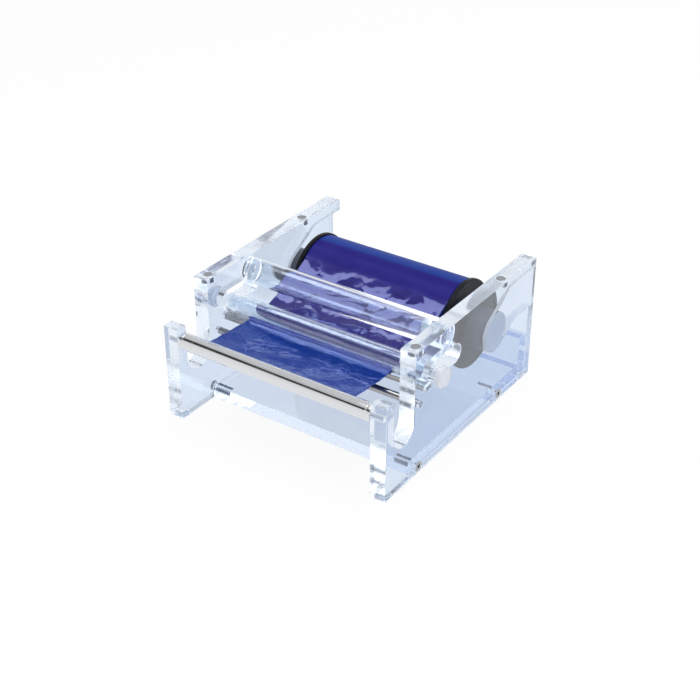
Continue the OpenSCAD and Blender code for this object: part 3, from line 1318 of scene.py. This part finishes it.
@dataclass
class Fasteners:
    """The base screws, the plugs in the top edges and the feet."""

    shop: Workshop
    rows: RepeatTree
    threads: ThreadTree
    per_side: int = 2
    plate_mid: float = 84.0
    outer_x: float = 90.0
    screw_y: float = -54.625
    screw_step: float = 106.0
    screw_z: float = 6.0
    screw_len: float = 25.0
    screw_r: float = 2.0
    tip_len: float = 1.0
    thread_depth: float = 0.32
    thread_pitch: float = 0.8
    thread_crest: float = 0.3
    head_r: float = 3.8
    head_depth: float = 2.4
    head_sunk: float = 0.02
    socket_r: float = 1.45
    socket_depth: float = 1.5
    plug_y: float = -53.125
    plug_step: float = 108.5
    plug_r: float = 3.25
    plug_depth: float = 5.0
    plug_sunk: float = 0.05
    plug_rim: float = 0.7
    plug_dish: float = 0.3
    top_z: float = 95.3
    foot_y: float = -88.625
    foot_step: float = 176.0
    foot_r: float = 4.5
    foot_h: float = 2.0
    foot_rim: float = 2.0
    foot_hollow: float = 0.25
    slope: float = 0.4

    def build(self) -> None:
        """Makes the three rows."""
        self._screws()
        self._plugs()
        self._feet()

    def _set_row(self, obj: Object, first: Point, step: float, finish: Material) -> None:
        """Repeats a fastener on both sides.

        Args:
            obj: The fastener, drawn at the origin for the right-hand side.
            first: Place of the first one on the right-hand side, in mm.
            step: Distance between two along Y, in mm.
            finish: Material of the row.
        """
        x, y, z = first
        run_tree(
            obj,
            self.rows.tree,
            Count=self.per_side,
            First_Right=(x * MM, y * MM, z * MM),
            First_Left=(-x * MM, y * MM, z * MM),
            Step=(0.0, step * MM, 0.0),
            Finish=finish,
        )
        settle(obj)

    def _screws(self) -> None:
        """Makes the countersunk screws with a hexagon socket and a thread."""
        finish = self.shop.palette.screw_steel
        start = self.tip_len - self.screw_len
        core = self.screw_r - self.thread_depth
        obj = stand_alone("socket_screws", self._screw_body(core))
        thread = self.screw_len - self.head_depth - 2.0
        run_tree(
            obj,
            self.threads.tree,
            Turns=thread / self.thread_pitch,
            Radius=(core - 0.02) * MM,
            Length=thread * MM,
            Start=(start * MM, 0.0, 0.0),
            Crest=self.thread_crest * MM,
            Finish=finish,
        )
        self._set_row(obj, (self.outer_x, self.screw_y, self.screw_z), self.screw_step, finish)
        self.shop.fit(obj, finish, Slot.BRIGHT_STEEL, Body.FRAME, "base_screws")

    def _screw_body(self, core: float) -> Mesh:
        """Makes a screw without its thread, with its head at the origin.

        Args:
            core: Radius under the thread, in mm.

        Returns:
            The mesh.
        """
        tip = -self.screw_len
        profile = [
            (tip, 0.0),
            (tip, core - 0.5),
            (tip + self.tip_len, core),
            (-self.head_depth - 0.4, core),
            (-self.head_depth, self.screw_r),
            (-0.25, self.head_r - 0.05),
            (-self.head_sunk, self.head_r - 0.1),
        ]
        # The round head has as many points for each corner of its socket as the socket has corners.
        corners = 6
        bm = bmesh.new()
        rim = [bm.verts.new(p) for p in self._circle(-self.head_sunk, self.socket_r, corners)]
        floor = [bm.verts.new(p) for p in self._circle(-self.socket_depth, self.socket_r, corners)]
        rings = []
        for x, r in soften(profile, 0.15, 2):
            count = 1 if r < ON_AXIS else corners * corners
            rings.append([bm.verts.new(p) for p in self._circle(x, r, count)])
        for first, second in zip(rings, rings[1:]):
            bridge(bm, first, second)
        outer = rings[-1]
        for i in range(corners):
            j = (i + 1) % corners
            run = [outer[(corners * i + k) % len(outer)] for k in range(corners + 1)]
            bm.faces.new([rim[i], *run, rim[j]])
            bm.faces.new([rim[i], rim[j], floor[j], floor[i]])
        bm.faces.new(floor)
        bmesh.ops.recalc_face_normals(bm, faces=bm.faces)
        return plain_mesh(bm)

    @staticmethod
    def _circle(x: float, r: float, count: int) -> list[Point]:
        """Spaces points on a circle round the X axis.

        Args:
            x: Place of the circle along X, in mm.
            r: Its radius, in mm.
            count: How many points it has.

        Returns:
            The points, in metres.
        """
        return [
            (
                x * MM,
                r * MM * math.cos(2.0 * math.pi * i / count),
                r * MM * math.sin(2.0 * math.pi * i / count),
            )
            for i in range(count)
        ]

    @staticmethod
    def _upright(profile: Sequence[Pair]) -> Mesh:
        """Turns a profile round the vertical axis.

        Args:
            profile: Points as height and radius, in mm.

        Returns:
            The mesh at the origin.
        """
        mesh = turn(profile, (0.0, 0.0), segments=48)
        for v in mesh.vertices:
            x, y, z = v.co
            v.co = (-z, y, x)
        return mesh

    def _plugs(self) -> None:
        """Makes the round plugs with a shallow dish in their heads."""
        top = -self.plug_sunk
        dish = top - self.plug_dish
        rim = self.plug_r - self.plug_rim
        profile = [
            (-self.plug_depth, 0.0),
            (-self.plug_depth, self.plug_r),
            (top, self.plug_r),
            (top, rim),
            (dish, rim - self.slope),
            (dish, 0.0),
        ]
        obj = stand_alone("edge_caps", self._upright(soften(profile, 0.3, 3)))
        finish = self.shop.palette.plug_grey
        self._set_row(obj, (self.plate_mid, self.plug_y, self.top_z), self.plug_step, finish)
        self.shop.fit(obj, finish, Slot.GREY_PLASTIC, Body.FRAME, "edge_plugs")

    def _feet(self) -> None:
        """Makes the rubber feet with a rounded rim and a hollow underside."""
        rim = self.foot_r - self.foot_rim
        profile = [
            (self.foot_hollow, 0.0),
            (self.foot_hollow, rim - self.slope),
            (0.0, rim),
            (0.0, self.foot_r),
            (self.foot_h, self.foot_r),
            (self.foot_h, 0.0),
        ]
        obj = stand_alone("rubber_feet", self._upright(soften(profile, 0.35, 3)))
        finish = self.shop.palette.rubber
        self._set_row(obj, (self.plate_mid, self.foot_y, 0.0), self.foot_step, finish)
        self.shop.fit(obj, finish, Slot.RUBBER, Body.FRAME, "bumper_feet")


@dataclass
class SteelWork:
    """The front rod, the flat bar under the foil and the thin tie rod."""

    shop: Workshop
    front_axis: Pair = (-89.875, 62.5)
    front_r: float = 6.0
    front_half: float = 77.7
    spigot_r: float = 2.5
    spigot_end: float = 86.0
    groove_in: float = 3.0
    groove_flank: float = 0.2
    groove_floor: float = 0.4
    groove_depth: float = 0.15
    tie_axis: Pair = (-50.225, 51.0)
    tie_r: float = 2.5
    tie_half: float = 83.7

    def build(self) -> None:
        """Makes the three steel pieces."""
        palette = self.shop.palette
        outer = self.front_half - self.groove_in
        inner = outer - self.groove_floor - 2.0 * self.groove_flank
        half = [
            (self.spigot_end, 0.0),
            (self.spigot_end, self.spigot_r),
            (self.front_half, self.spigot_r),
            (self.front_half, self.front_r),
            (outer, self.front_r),
            (outer - self.groove_flank, self.front_r - self.groove_depth),
            (inner + self.groove_flank, self.front_r - self.groove_depth),
            (inner, self.front_r),
        ]
        rod = stand_alone("draw_rod", turn(soften(both_ends(half), 0.5, 3), self.front_axis))
        self.shop.fit(rod, palette.bright_steel, Slot.BRIGHT_STEEL, Body.FRONT_ROD, "front_rod")
        bar = self.shop.softened("tear_bar", "flat_bar", 0.5)
        self.shop.fit(bar, palette.dark_steel, Slot.DARK_STEEL, Body.FRAME, "tear_bar")
        end = [(self.tie_half, 0.0), (self.tie_half, self.tie_r)]
        tie = stand_alone("thin_tie_rod", turn(soften(both_ends(end), 0.4, 3), self.tie_axis))
        self.shop.fit(tie, palette.dark_steel, Slot.DARK_STEEL, Body.FRAME, "tie_rod")


@dataclass
class GuideRoller:
    """The thick clear tube over the foil and the clear plugs that carry it."""

    shop: Workshop
    axis: Pair = (-15.825, 85.0)
    radius: float = 9.5
    half: float = 77.5
    bore_r: float = 7.7
    plug_r: float = 7.65
    plug_in: float = 68.5
    pin_r: float = 3.0
    pin_out: float = 83.7

    def build(self) -> None:
        """Makes the tube and its two end plugs."""
        finish = self.shop.palette.roller
        h = self.half
        loop = [(-h, self.bore_r), (h, self.bore_r), (h, self.radius), (-h, self.radius)]
        tube = turn(soften_loop(loop, 0.5, 3), self.axis, closed=True, segments=128)
        roller = stand_alone("clear_guide_tube", tube)
        self.shop.fit(roller, finish, Slot.ACRYLIC, Body.GUIDE, "guide_roller")
        profile = soften(
            [
                (self.plug_in, 0.0),
                (self.plug_in, self.plug_r),
                (h, self.plug_r),
                (h, self.pin_r),
                (self.pin_out, self.pin_r),
                (self.pin_out, 0.0),
            ],
            0.4,
            3,
        )
        bm = bmesh.new()
        for side in Side:
            bm.from_mesh(turn(side.place(profile), self.axis, segments=64))
        plugs = stand_alone("tube_plugs", plain_mesh(bm))
        self.shop.fit(plugs, finish, Slot.ACRYLIC, Body.FRAME, "guide_pins")


@dataclass
class PressRoller:
    """The clear shaft in the slots, its sleeve, its knobs and their studs."""

    shop: Workshop
    threads: ThreadTree
    axis: Pair = (-39.325, 69.8)
    shaft_r: float = 4.8
    shaft_half: float = 94.2
    neck_x: float = 90.2
    bore_r: float = 2.05
    bore_depth: float = 8.0
    sleeve_in: float = 4.85
    sleeve_r: float = 7.0
    sleeve_bore: float = 5.9
    sleeve_bush: float = 6.0
    sleeve_half: float = 77.5
    knob_r: float = 7.5
    knob_t: float = 4.5
    knob_round: float = 1.2
    knob_bore: float = 3.0
    knob_rim: float = 2.2
    knob_slope: float = 0.7
    knob_dish: float = 0.35
    knob_sag: float = 0.1
    knob_gap: float = 0.04
    stud_r: float = 2.0
    stud_in: float = 86.4
    stud_out: float = 97.0
    stud_tip: float = 0.6
    thread_depth: float = 0.3
    thread_pitch: float = 0.7
    thread_crest: float = 0.28

    def build(self) -> None:
        """Makes the shaft, sleeve, knobs and studs."""
        palette = self.shop.palette
        bottom = self.shaft_half - self.bore_depth
        half = [
            (bottom, 0.0),
            (bottom, self.bore_r),
            (self.shaft_half, self.bore_r),
            (self.shaft_half, self.shaft_r),
            (self.neck_x, self.shaft_r),
        ]
        shaft = stand_alone("clear_shaft", turn(soften(both_ends(half), 0.4, 3), self.axis))
        self.shop.fit(shaft, palette.roller, Slot.ACRYLIC, Body.SHAFT, "press_shaft")
        self.shop.refinish(shaft, palette.knob, self._on_neck)
        self._sleeve()
        for side in Side:
            self._knob(side)
        self._studs()

    def _on_neck(self, face: Face) -> bool:
        """Says whether a face of the shaft belongs to the neck beside a knob."""
        return abs(face.center.x) > self.neck_x * MM

    def _sleeve(self) -> None:
        """Makes the loose sleeve on the shaft, a thin tube between two end bushes."""
        h = self.sleeve_half
        b = h - self.sleeve_bush
        loop = [
            (-h, self.sleeve_in),
            (-b, self.sleeve_in),
            (-b, self.sleeve_bore),
            (b, self.sleeve_bore),
            (b, self.sleeve_in),
            (h, self.sleeve_in),
            (h, self.sleeve_r),
            (-h, self.sleeve_r),
        ]
        sleeve = stand_alone("clear_sleeve", turn(soften_loop(loop, 0.5, 3), self.axis, closed=True))
        self.shop.fit(sleeve, self.shop.palette.roller, Slot.ACRYLIC, Body.SLEEVE, "press_sleeve")

    def _knob(self, side: Side) -> None:
        """Makes one knob with rounded rims and a shallow dish in its face.

        Args:
            side: The end that it sits on.
        """
        inner = self.shaft_half + self.knob_gap
        outer = self.shaft_half + self.knob_t
        bore = self.shaft_half + self.knob_bore
        rim = self.knob_r - self.knob_rim
        body = [
            (inner, self.bore_r),
            (inner, self.knob_r),
            (outer, self.knob_r),
            (outer, rim),
        ]
        profile = [
            (bore, 0.0),
            (bore, self.bore_r),
            *soften(body, self.knob_round, 6),
            (outer - self.knob_dish, rim - self.knob_slope),
            (outer - self.knob_dish - self.knob_sag, 0.0),
        ]
        turned = turn(side.place(profile), self.axis, segments=96)
        knob = stand_alone(f"clear_knob_{side.word}", turned)
        self.shop.fit(knob, self.shop.palette.knob, Slot.ACRYLIC, Body.SHAFT, f"press_knob_{side.word}")

    def _studs(self) -> None:
        """Makes the threaded studs between shaft and knobs."""
        finish = self.shop.palette.bright_steel
        core = self.stud_r - self.thread_depth
        shank = [
            (self.stud_in, 0.0),
            (self.stud_in, core),
            (self.stud_out, core),
            (self.stud_out, 0.0),
        ]
        bm = bmesh.new()
        for side in Side:
            bm.from_mesh(turn(side.place(soften(shank, 0.3, 3)), self.axis, segments=36))
        obj = stand_alone("knob_threads", plain_mesh(bm))
        length = self.stud_out - self.stud_in - 2.0 * self.stud_tip
        for start in (self.stud_in + self.stud_tip, -self.stud_out + self.stud_tip):
            run_tree(
                obj,
                self.threads.tree,
                Turns=length / self.thread_pitch,
                Radius=(core - 0.02) * MM,
                Length=length * MM,
                Start=(start * MM, self.axis[0] * MM, self.axis[1] * MM),
                Crest=self.thread_crest * MM,
                Finish=finish,
            )
        settle(obj)
        self.shop.fit(obj, finish, Slot.BRIGHT_STEEL, Body.SHAFT, "knob_studs")


@dataclass
class FoilRoll:
    """The wound foil on its card core, with its end flanges and hubs."""

    shop: Workshop
    creaser: CreaseTree
    axis: Pair = (45.575, 58.5)
    half: float = 60.0
    winding_r: float = 30.3
    crease: float = 0.05
    facet_scale: float = 38.0
    fold_scale: float = 22.0
    seed: float = 3.7
    winding_in: float = 17.05
    core_r: float = 17.0
    core_in: float = 15.0
    flange_in: float = 60.3
    flange_out: float = 63.3
    flange_r: float = 31.5
    plug_r: float = 14.95
    plug_len: float = 14.0
    bore_r: float = 8.05
    hub_r: float = 14.7
    hub_end: float = 84.0
    hub_gap: float = 0.03
    hub_face: float = 2.6
    face_normal: float = 0.3
    spigot_r: float = 8.0
    dish_slope: float = 0.6
    flange_rim: float = 2.4
    flange_collar: float = 2.0
    flange_dish: float = 0.5
    hub_rim: float = 2.2
    hub_dish: float = 0.9

    def build(self) -> None:
        """Makes the six pieces of the roll."""
        self._winding()
        core = [
            (-self.half, self.core_in),
            (self.half, self.core_in),
            (self.half, self.core_r),
            (-self.half, self.core_r),
        ]
        obj = stand_alone("card_core", turn(soften_loop(core, 0.2, 2), self.axis, closed=True))
        self.shop.fit(obj, self.shop.palette.card, Slot.CARD, Body.ROLL, "foil_core")
        for side in Side:
            self._flange(side)
            self._hub(side)

    def _winding(self) -> None:
        """Makes the wound foil, with shallow creases pressed into its outer turns."""
        top = self.winding_r - self.crease
        h = self.half
        profile = [
            (-h, self.winding_in),
            (-h, top - 0.2),
            *stretch((-h + 0.2, top), (h - 0.2, top), 150),
            (h, top - 0.2),
            (h, self.winding_in),
        ]
        mesh = turn(profile, self.axis, closed=True, segments=240)
        slack = mesh.attributes.new("slack", "FLOAT", "POINT")
        for v in mesh.vertices:
            r = math.hypot(v.co.y / MM - self.axis[0], v.co.z / MM - self.axis[1])
            slack.data[v.index].value = 1.0 if r > top - 0.3 else 0.0
        obj = stand_alone("wound_foil", mesh)
        run_tree(
            obj,
            self.creaser.tree,
            Height=self.crease * MM,
            Facet_Scale=self.facet_scale,
            Fold_Scale=self.fold_scale,
            Seed=self.seed,
            Finish=self.shop.palette.roll_foil,
        )
        settle(obj)
        self.shop.fit(obj, self.shop.palette.roll_foil, Slot.FOIL, Body.ROLL, "foil_winding")

    def _flange(self, side: Side) -> None:
        """Makes one black end flange with its plug in the core.

        Args:
            side: The end that it closes.
        """
        inner = self.flange_in - self.plug_len
        dish = self.flange_out - self.flange_dish
        loop = [
            (inner, self.bore_r),
            (inner, self.plug_r),
            (self.flange_in, self.plug_r),
            (self.flange_in, self.flange_r),
            (self.flange_out, self.flange_r),
            (self.flange_out, self.flange_r - self.flange_rim),
            (dish, self.flange_r - self.flange_rim - self.dish_slope),
            (dish, self.hub_r + self.flange_collar + self.dish_slope),
            (self.flange_out, self.hub_r + self.flange_collar),
            (self.flange_out, self.bore_r),
        ]
        profile = side.place(soften_loop(loop, 0.45, 3))
        obj = stand_alone(f"end_flange_{side.word}", turn(profile, self.axis, closed=True, segments=144))
        finish = self.shop.palette.black_plastic
        self.shop.fit(obj, finish, Slot.BLACK_PLASTIC, Body.ROLL, f"flange_{side.word}")

    def _hub(self, side: Side) -> None:
        """Makes one grey hub with a dished face and its spigot in the flange.

        Args:
            side: The end that it carries.
        """
        inner = self.flange_in - self.plug_len
        start = self.flange_out + self.hub_gap
        dish = self.hub_end - self.hub_dish
        rim = self.hub_r - self.hub_rim
        profile = [
            (inner, 0.0),
            (inner, self.spigot_r),
            (start, self.spigot_r),
            (start, self.hub_r),
            (self.hub_end, self.hub_r),
            (self.hub_end, rim),
            (dish, rim - self.dish_slope),
            (dish, 0.0),
        ]
        turned = turn(side.place(soften(profile, 0.6, 4)), self.axis, segments=112)
        obj = stand_alone(f"roll_hub_{side.word}", turned)
        finish = self.shop.palette.grey_plastic
        self.shop.fit(obj, finish, Slot.GREY_PLASTIC, Body.ROLL, f"hub_{side.word}")
        self.shop.refinish(obj, self.shop.palette.hub_face, self._on_hub_face)

    def _on_hub_face(self, face: Face) -> bool:
        """Says whether a face of a hub belongs to its paler end."""
        at_end = abs(face.center.x) > (self.hub_end - self.hub_face) * MM
        return at_end and abs(face.normal.x) > self.face_normal


@dataclass
class DrawnFoil:
    """The foil from the roll, under the press roller and up to the front rod."""

    shop: Workshop
    creaser: CreaseTree
    width: float = 119.0
    thickness: float = 0.04
    roll_axis: Pair = (45.575, 58.5)
    roll_r: float = 30.36
    leave: float = 124.5
    wrap: float = 80.0
    bend_to: Pair = (2.245, 66.1)
    bar_rear: Pair = (-34.625, 61.9)
    bar_front: Pair = (-44.625, 61.9)
    end: Pair = (-83.935, 65.14)
    step: float = 0.7
    fold_height: float = 1.9
    facet_scale: float = 62.0
    fold_scale: float = 34.0
    seed: float = 1.3
    sharp_fold: float = 60.0
    bend_steps: int = 60
    roll_run: float = 14.0
    bar_run: float = 12.0
    bar_hold: float = 0.1
    rod_run: float = 9.0
    rod_hold: float = 0.25
    rim_hold: float = 0.3

    def _line(self) -> list[Vector]:
        """Draws the foil's middle line over the roll, down to the bar and up to the front rod.

        Returns:
            Its points as places along Y and heights, in mm.
        """
        points = []
        for i in range(self.bend_steps + 1):
            a = math.radians(self.leave - self.wrap * (1.0 - i / self.bend_steps))
            points.append(Vector(self.roll_axis) + self.roll_r * Vector((math.cos(a), math.sin(a))))
        start = points[-1]
        knee = Vector(self.bend_to)
        low = Vector(self.bar_rear)
        for i in range(1, self.bend_steps + 1):
            u = i / self.bend_steps
            v = 1.0 - u
            points.append(v * v * start + 2.0 * u * v * knee + u * u * low)
        points.append(Vector(self.bar_front))
        points.append(Vector(self.end))
        return points

    def _stations(self) -> list[tuple[Vector, float]]:
        """Spaces points evenly along the foil's middle line.

        Returns:
            The points with their distances along the line, in mm.
        """
        line = self._line()
        marks = [0.0]
        for a, b in zip(line, line[1:]):
            marks.append(marks[-1] + (b - a).length)
        count = round(marks[-1] / self.step)
        stations = []
        leg = 0
        for i in range(count + 1):
            s = marks[-1] * i / count
            while leg < len(line) - 2 and marks[leg + 1] < s:
                leg += 1
            u = (s - marks[leg]) / (marks[leg + 1] - marks[leg])
            stations.append((line[leg].lerp(line[leg + 1], min(1.0, u)), s))
        return stations

    def _slack(self, y: float, across: float, s: float, length: float) -> float:
        """Says how far the foil may crease at a point.

        Args:
            y: Place along Y, in mm.
            across: Place along X as a share of the half width.
            s: Distance along the foil, in mm.
            length: Whole length of the foil, in mm.

        Returns:
            A share from 0, held flat, to 1, free.
        """
        wrapped = math.radians(self.wrap) * self.roll_r
        off_roll = min(1.0, max(0.0, (s - wrapped) / self.roll_run))
        from_bar = max(0.0, y - self.bar_rear[0], self.bar_front[0] - y)
        off_bar = self.bar_hold + (1.0 - self.bar_hold) * min(1.0, from_bar / self.bar_run)
        off_rod = self.rod_hold + (1.0 - self.rod_hold) * min(1.0, (length - s) / self.rod_run)
        rim = 1.0 - self.rim_hold * across * across
        return off_roll * min(off_bar, off_rod) * rim

    def build(self) -> float:
        """Returns:
            The foil's length in mm.
        """
        stations = self._stations()
        length = stations[-1][1]
        columns = round(self.width / self.step)
        bm = bmesh.new()
        layer = bm.verts.layers.float.new("slack")
        rows = []
        for point, s in stations:
            row = []
            for i in range(columns + 1):
                across = 2.0 * i / columns - 1.0
                vert = bm.verts.new((across * self.width / 2.0 * MM, point.x * MM, point.y * MM))
                vert[layer] = self._slack(point.x, across, s, length)
                row.append(vert)
            rows.append(row)
        for a, b in zip(rows, rows[1:]):
            for i in range(columns):
                bm.faces.new((a[i], b[i], b[i + 1], a[i + 1]))
        obj = stand_alone("drawn_foil_sheet", plain_mesh(bm, self.sharp_fold))
        run_tree(
            obj,
            self.creaser.tree,
            Height=self.fold_height * MM,
            Facet_Scale=self.facet_scale,
            Fold_Scale=self.fold_scale,
            Seed=self.seed,
            Finish=self.shop.palette.drawn_foil,
        )
        wall = obj.modifiers.new("wall", "SOLIDIFY")
        wall.thickness = self.thickness * MM
        wall.offset = 0.0
        settle(obj)
        self.shop.fit(obj, self.shop.palette.drawn_foil, Slot.FOIL, Body.FRAME, "foil_web")
        return length


@dataclass(frozen=True)
class Softbox:
    """A soft lamp, with its place and size in metres and its power in watts."""

    name: str
    place: Point
    size: Pair
    power: float
    colour: Point = (1.0, 1.0, 1.0)
    shows_through: bool = False

    def hang(self, target: Point) -> Object:
        """Hangs the lamp so that it looks at a point, out of the camera's sight.

        Args:
            target: The point, in metres.

        Returns:
            The lamp.
        """
        toward = (Vector(self.place) - Vector(target)).normalized()
        light = bpy.data.lights.new(self.name, "AREA")
        light.shape = "RECTANGLE"
        light.size = self.size[0]
        light.size_y = self.size[1]
        light.energy = self.power
        light.color = self.colour
        lamp = bpy.data.objects.new(self.name, light)
        lamp.location = self.place
        lamp.rotation_euler = (-math.asin(toward.y), math.atan2(toward.x, toward.z), 0.0)
        lamp.visible_camera = False
        lamp.visible_transmission = self.shows_through
        bpy.context.scene.collection.objects.link(lamp)
        return lamp


@dataclass
class Studio:
    """The white table, the soft lamps and the camera."""

    lamps: tuple[Softbox, ...] = (
        Softbox("overhead softbox", place=(0.0, -0.05, 1.12), size=(0.6, 0.7), power=5.0),
        Softbox("front softbox", place=(0.9, -1.05, 0.95), size=(0.8, 0.8), power=3.0),
        Softbox("rear softbox", place=(0.35, 1.1, 0.7), size=(0.9, 0.5), power=2.0),
    )
    foil_lamp: Softbox = Softbox(
        "foil softbox",
        place=(-0.583, 0.138, 1.114),
        size=(0.45, 0.62),
        power=4.8,
        colour=(0.80, 0.91, 1.0),
        shows_through=True,
    )
    eye: Point = (0.46838, -0.68174, 0.54005)
    back: Point = (0.4855, -0.7029, 0.5198)
    lens: float = 70.75
    lamp_target: Point = (0.0, 0.0, 0.05)
    ambient: float = 0.6
    table_size: float = 2.5
    table_drop: float = 0.0002
    table_glow: float = 0.93
    front_y: Pair = (-0.25, -0.05)
    front_levels: tuple[Pair, ...] = (
        (0.30, 0.95),
        (0.50, 0.75),
        (0.545, 0.03),
        (0.735, 0.03),
        (0.79, 0.62),
    )
    rear_levels: tuple[Pair, ...] = ((0.30, 0.92), (0.52, 0.74), (0.90, 0.68))

    def build(self) -> None:
        """Sets up the view, world, floor, lamps and camera."""
        bpy.context.scene.view_settings.view_transform = "Standard"
        self._world()
        self._floor()
        for softbox in self.lamps:
            softbox.hang(self.lamp_target)
        self._camera()

    def light_foil(self, shown: Sequence[str]) -> None:
        """Hangs the lamp whose mirror image breaks up in the creased foil.

        Args:
            shown: Names of the pieces that it lights.
        """
        lamp = self.foil_lamp.hang(self.lamp_target)
        lit = bpy.data.collections.new("lit by the foil softbox")
        for name in shown:
            lit.objects.link(bpy.data.objects[name])
        lamp.light_linking.receiver_collection = lit

    @staticmethod
    def _seen(bench: Bench, path: Node) -> Socket:
        """Marks rays that show the surroundings, straight, mirrored or through clear pieces.

        Args:
            bench: The tree that needs the mark.
            path: Its Light Path node.

        Returns:
            1 for such rays, else 0.
        """
        straight = path.outputs["Is Camera Ray"]
        mirrored = bench.maths("ADD", straight, path.outputs["Is Glossy Ray"])
        summed = bench.maths("ADD", mirrored, path.outputs["Is Transmission Ray"])
        return bench.maths("MINIMUM", summed, 1.0)

    @staticmethod
    def _graded(bench: Bench, height: Socket, stops: Sequence[Pair]) -> Socket:
        """Adds a grey that changes with height.

        Args:
            bench: The tree that needs it.
            height: The height, 0 at the horizon.
            stops: Height and grey level of each stop.

        Returns:
            The grey.
        """
        node = bench.add("ShaderNodeValToRGB")
        bench.join(height, node.inputs[0])
        keys = node.color_ramp.elements
        while len(keys) < len(stops):
            keys.new(0.5)
        for key, (place, level) in zip(keys, stops):
            key.position = place
            key.color = (level, level, level, 1.0)
        return node.outputs[0]

    def _world(self) -> None:
        """Makes white surroundings, in which mirrors see greys and a dark band in front."""
        world = bpy.data.worlds.new("studio")
        world.use_nodes = True
        bpy.context.scene.world = world
        bench = Bench(world.node_tree)
        toward = bench.add("ShaderNodeTexCoord").outputs["Generated"]
        parts = bench.add("ShaderNodeSeparateXYZ")
        bench.join(toward, parts.inputs[0])
        front = self._graded(bench, parts.outputs["Z"], self.front_levels)
        rear = self._graded(bench, parts.outputs["Z"], self.rear_levels)
        side = bench.ease(parts.outputs["Y"], *self.front_y)
        greys = bench.between(side, front, rear)
        path = bench.add("ShaderNodeLightPath")
        mirrored = bench.between(path.outputs["Is Glossy Ray"], 1.0, greys)
        level = bench.between(self._seen(bench, path), self.ambient, mirrored)
        free = bench.maths("SUBTRACT", 1.0, bench.trapped(path))
        sky = bench.add("ShaderNodeBackground")
        bench.feed(sky, Color=WHITE, Strength=bench.maths("MULTIPLY", level, free))
        out = bench.add("ShaderNodeOutputWorld")
        bench.join(sky.outputs[0], out.inputs["Surface"])

    def _floor(self) -> None:
        """Makes the white table, which keeps a soft shadow."""
        bm = bmesh.new()
        bmesh.ops.create_grid(bm, x_segments=8, y_segments=8, size=self.table_size)
        for v in bm.verts:
            v.co.z = -self.table_drop
        floor = stand_alone("white_table", plain_mesh(bm))
        material = bpy.data.materials.new("white_table")
        material.use_nodes = True
        bench = Bench(material.node_tree)
        matte = bench.add("ShaderNodeBsdfDiffuse")
        bench.feed(matte, Color=WHITE)
        path = bench.add("ShaderNodeLightPath")
        free = bench.maths("SUBTRACT", 1.0, bench.trapped(path))
        glow = bench.add("ShaderNodeEmission")
        bench.feed(glow, Color=WHITE, Strength=free)
        share = bench.maths("MULTIPLY", self._seen(bench, path), self.table_glow)
        out = bench.add("ShaderNodeOutputMaterial")
        bench.join(bench.mix_shaders(share, matte, glow), out.inputs["Surface"])
        floor.data.materials.append(material)

    def _camera(self) -> None:
        """Sets the camera at the photograph's viewing angle."""
        data = bpy.data.cameras.new("viewpoint")
        data.lens = self.lens
        data.sensor_width = 36.0
        camera = bpy.data.objects.new("viewpoint", data)
        camera.location = self.eye
        camera.rotation_euler = Vector(self.back).to_track_quat("Z", "Y").to_euler()
        bpy.context.scene.collection.objects.link(camera)
        bpy.context.scene.camera = camera


def main() -> None:
    """Loads the frame, builds each sub-assembly on it and sets up the studio."""
    logging.basicConfig(level=logging.INFO, format="%(message)s")
    for obj in list(bpy.data.objects):
        bpy.data.objects.remove(obj)
    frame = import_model()
    shop = Workshop(frame["nodes"], Palette(ShaderEffects()))
    threads = ThreadTree()
    creaser = CreaseTree()
    studio = Studio()
    studio.build()
    ClearBody(shop).build()
    Fasteners(shop, RepeatTree(), threads).build()
    SteelWork(shop).build()
    GuideRoller(shop).build()
    PressRoller(shop, threads).build()
    FoilRoll(shop, creaser).build()
    length = DrawnFoil(shop, creaser).build()
    LOG.info("drawn foil is %.1f mm long", length)
    studio.light_foil(("drawn_foil_sheet", "clear_guide_tube", "clear_sleeve"))


if __name__ == "__main__":
    main()
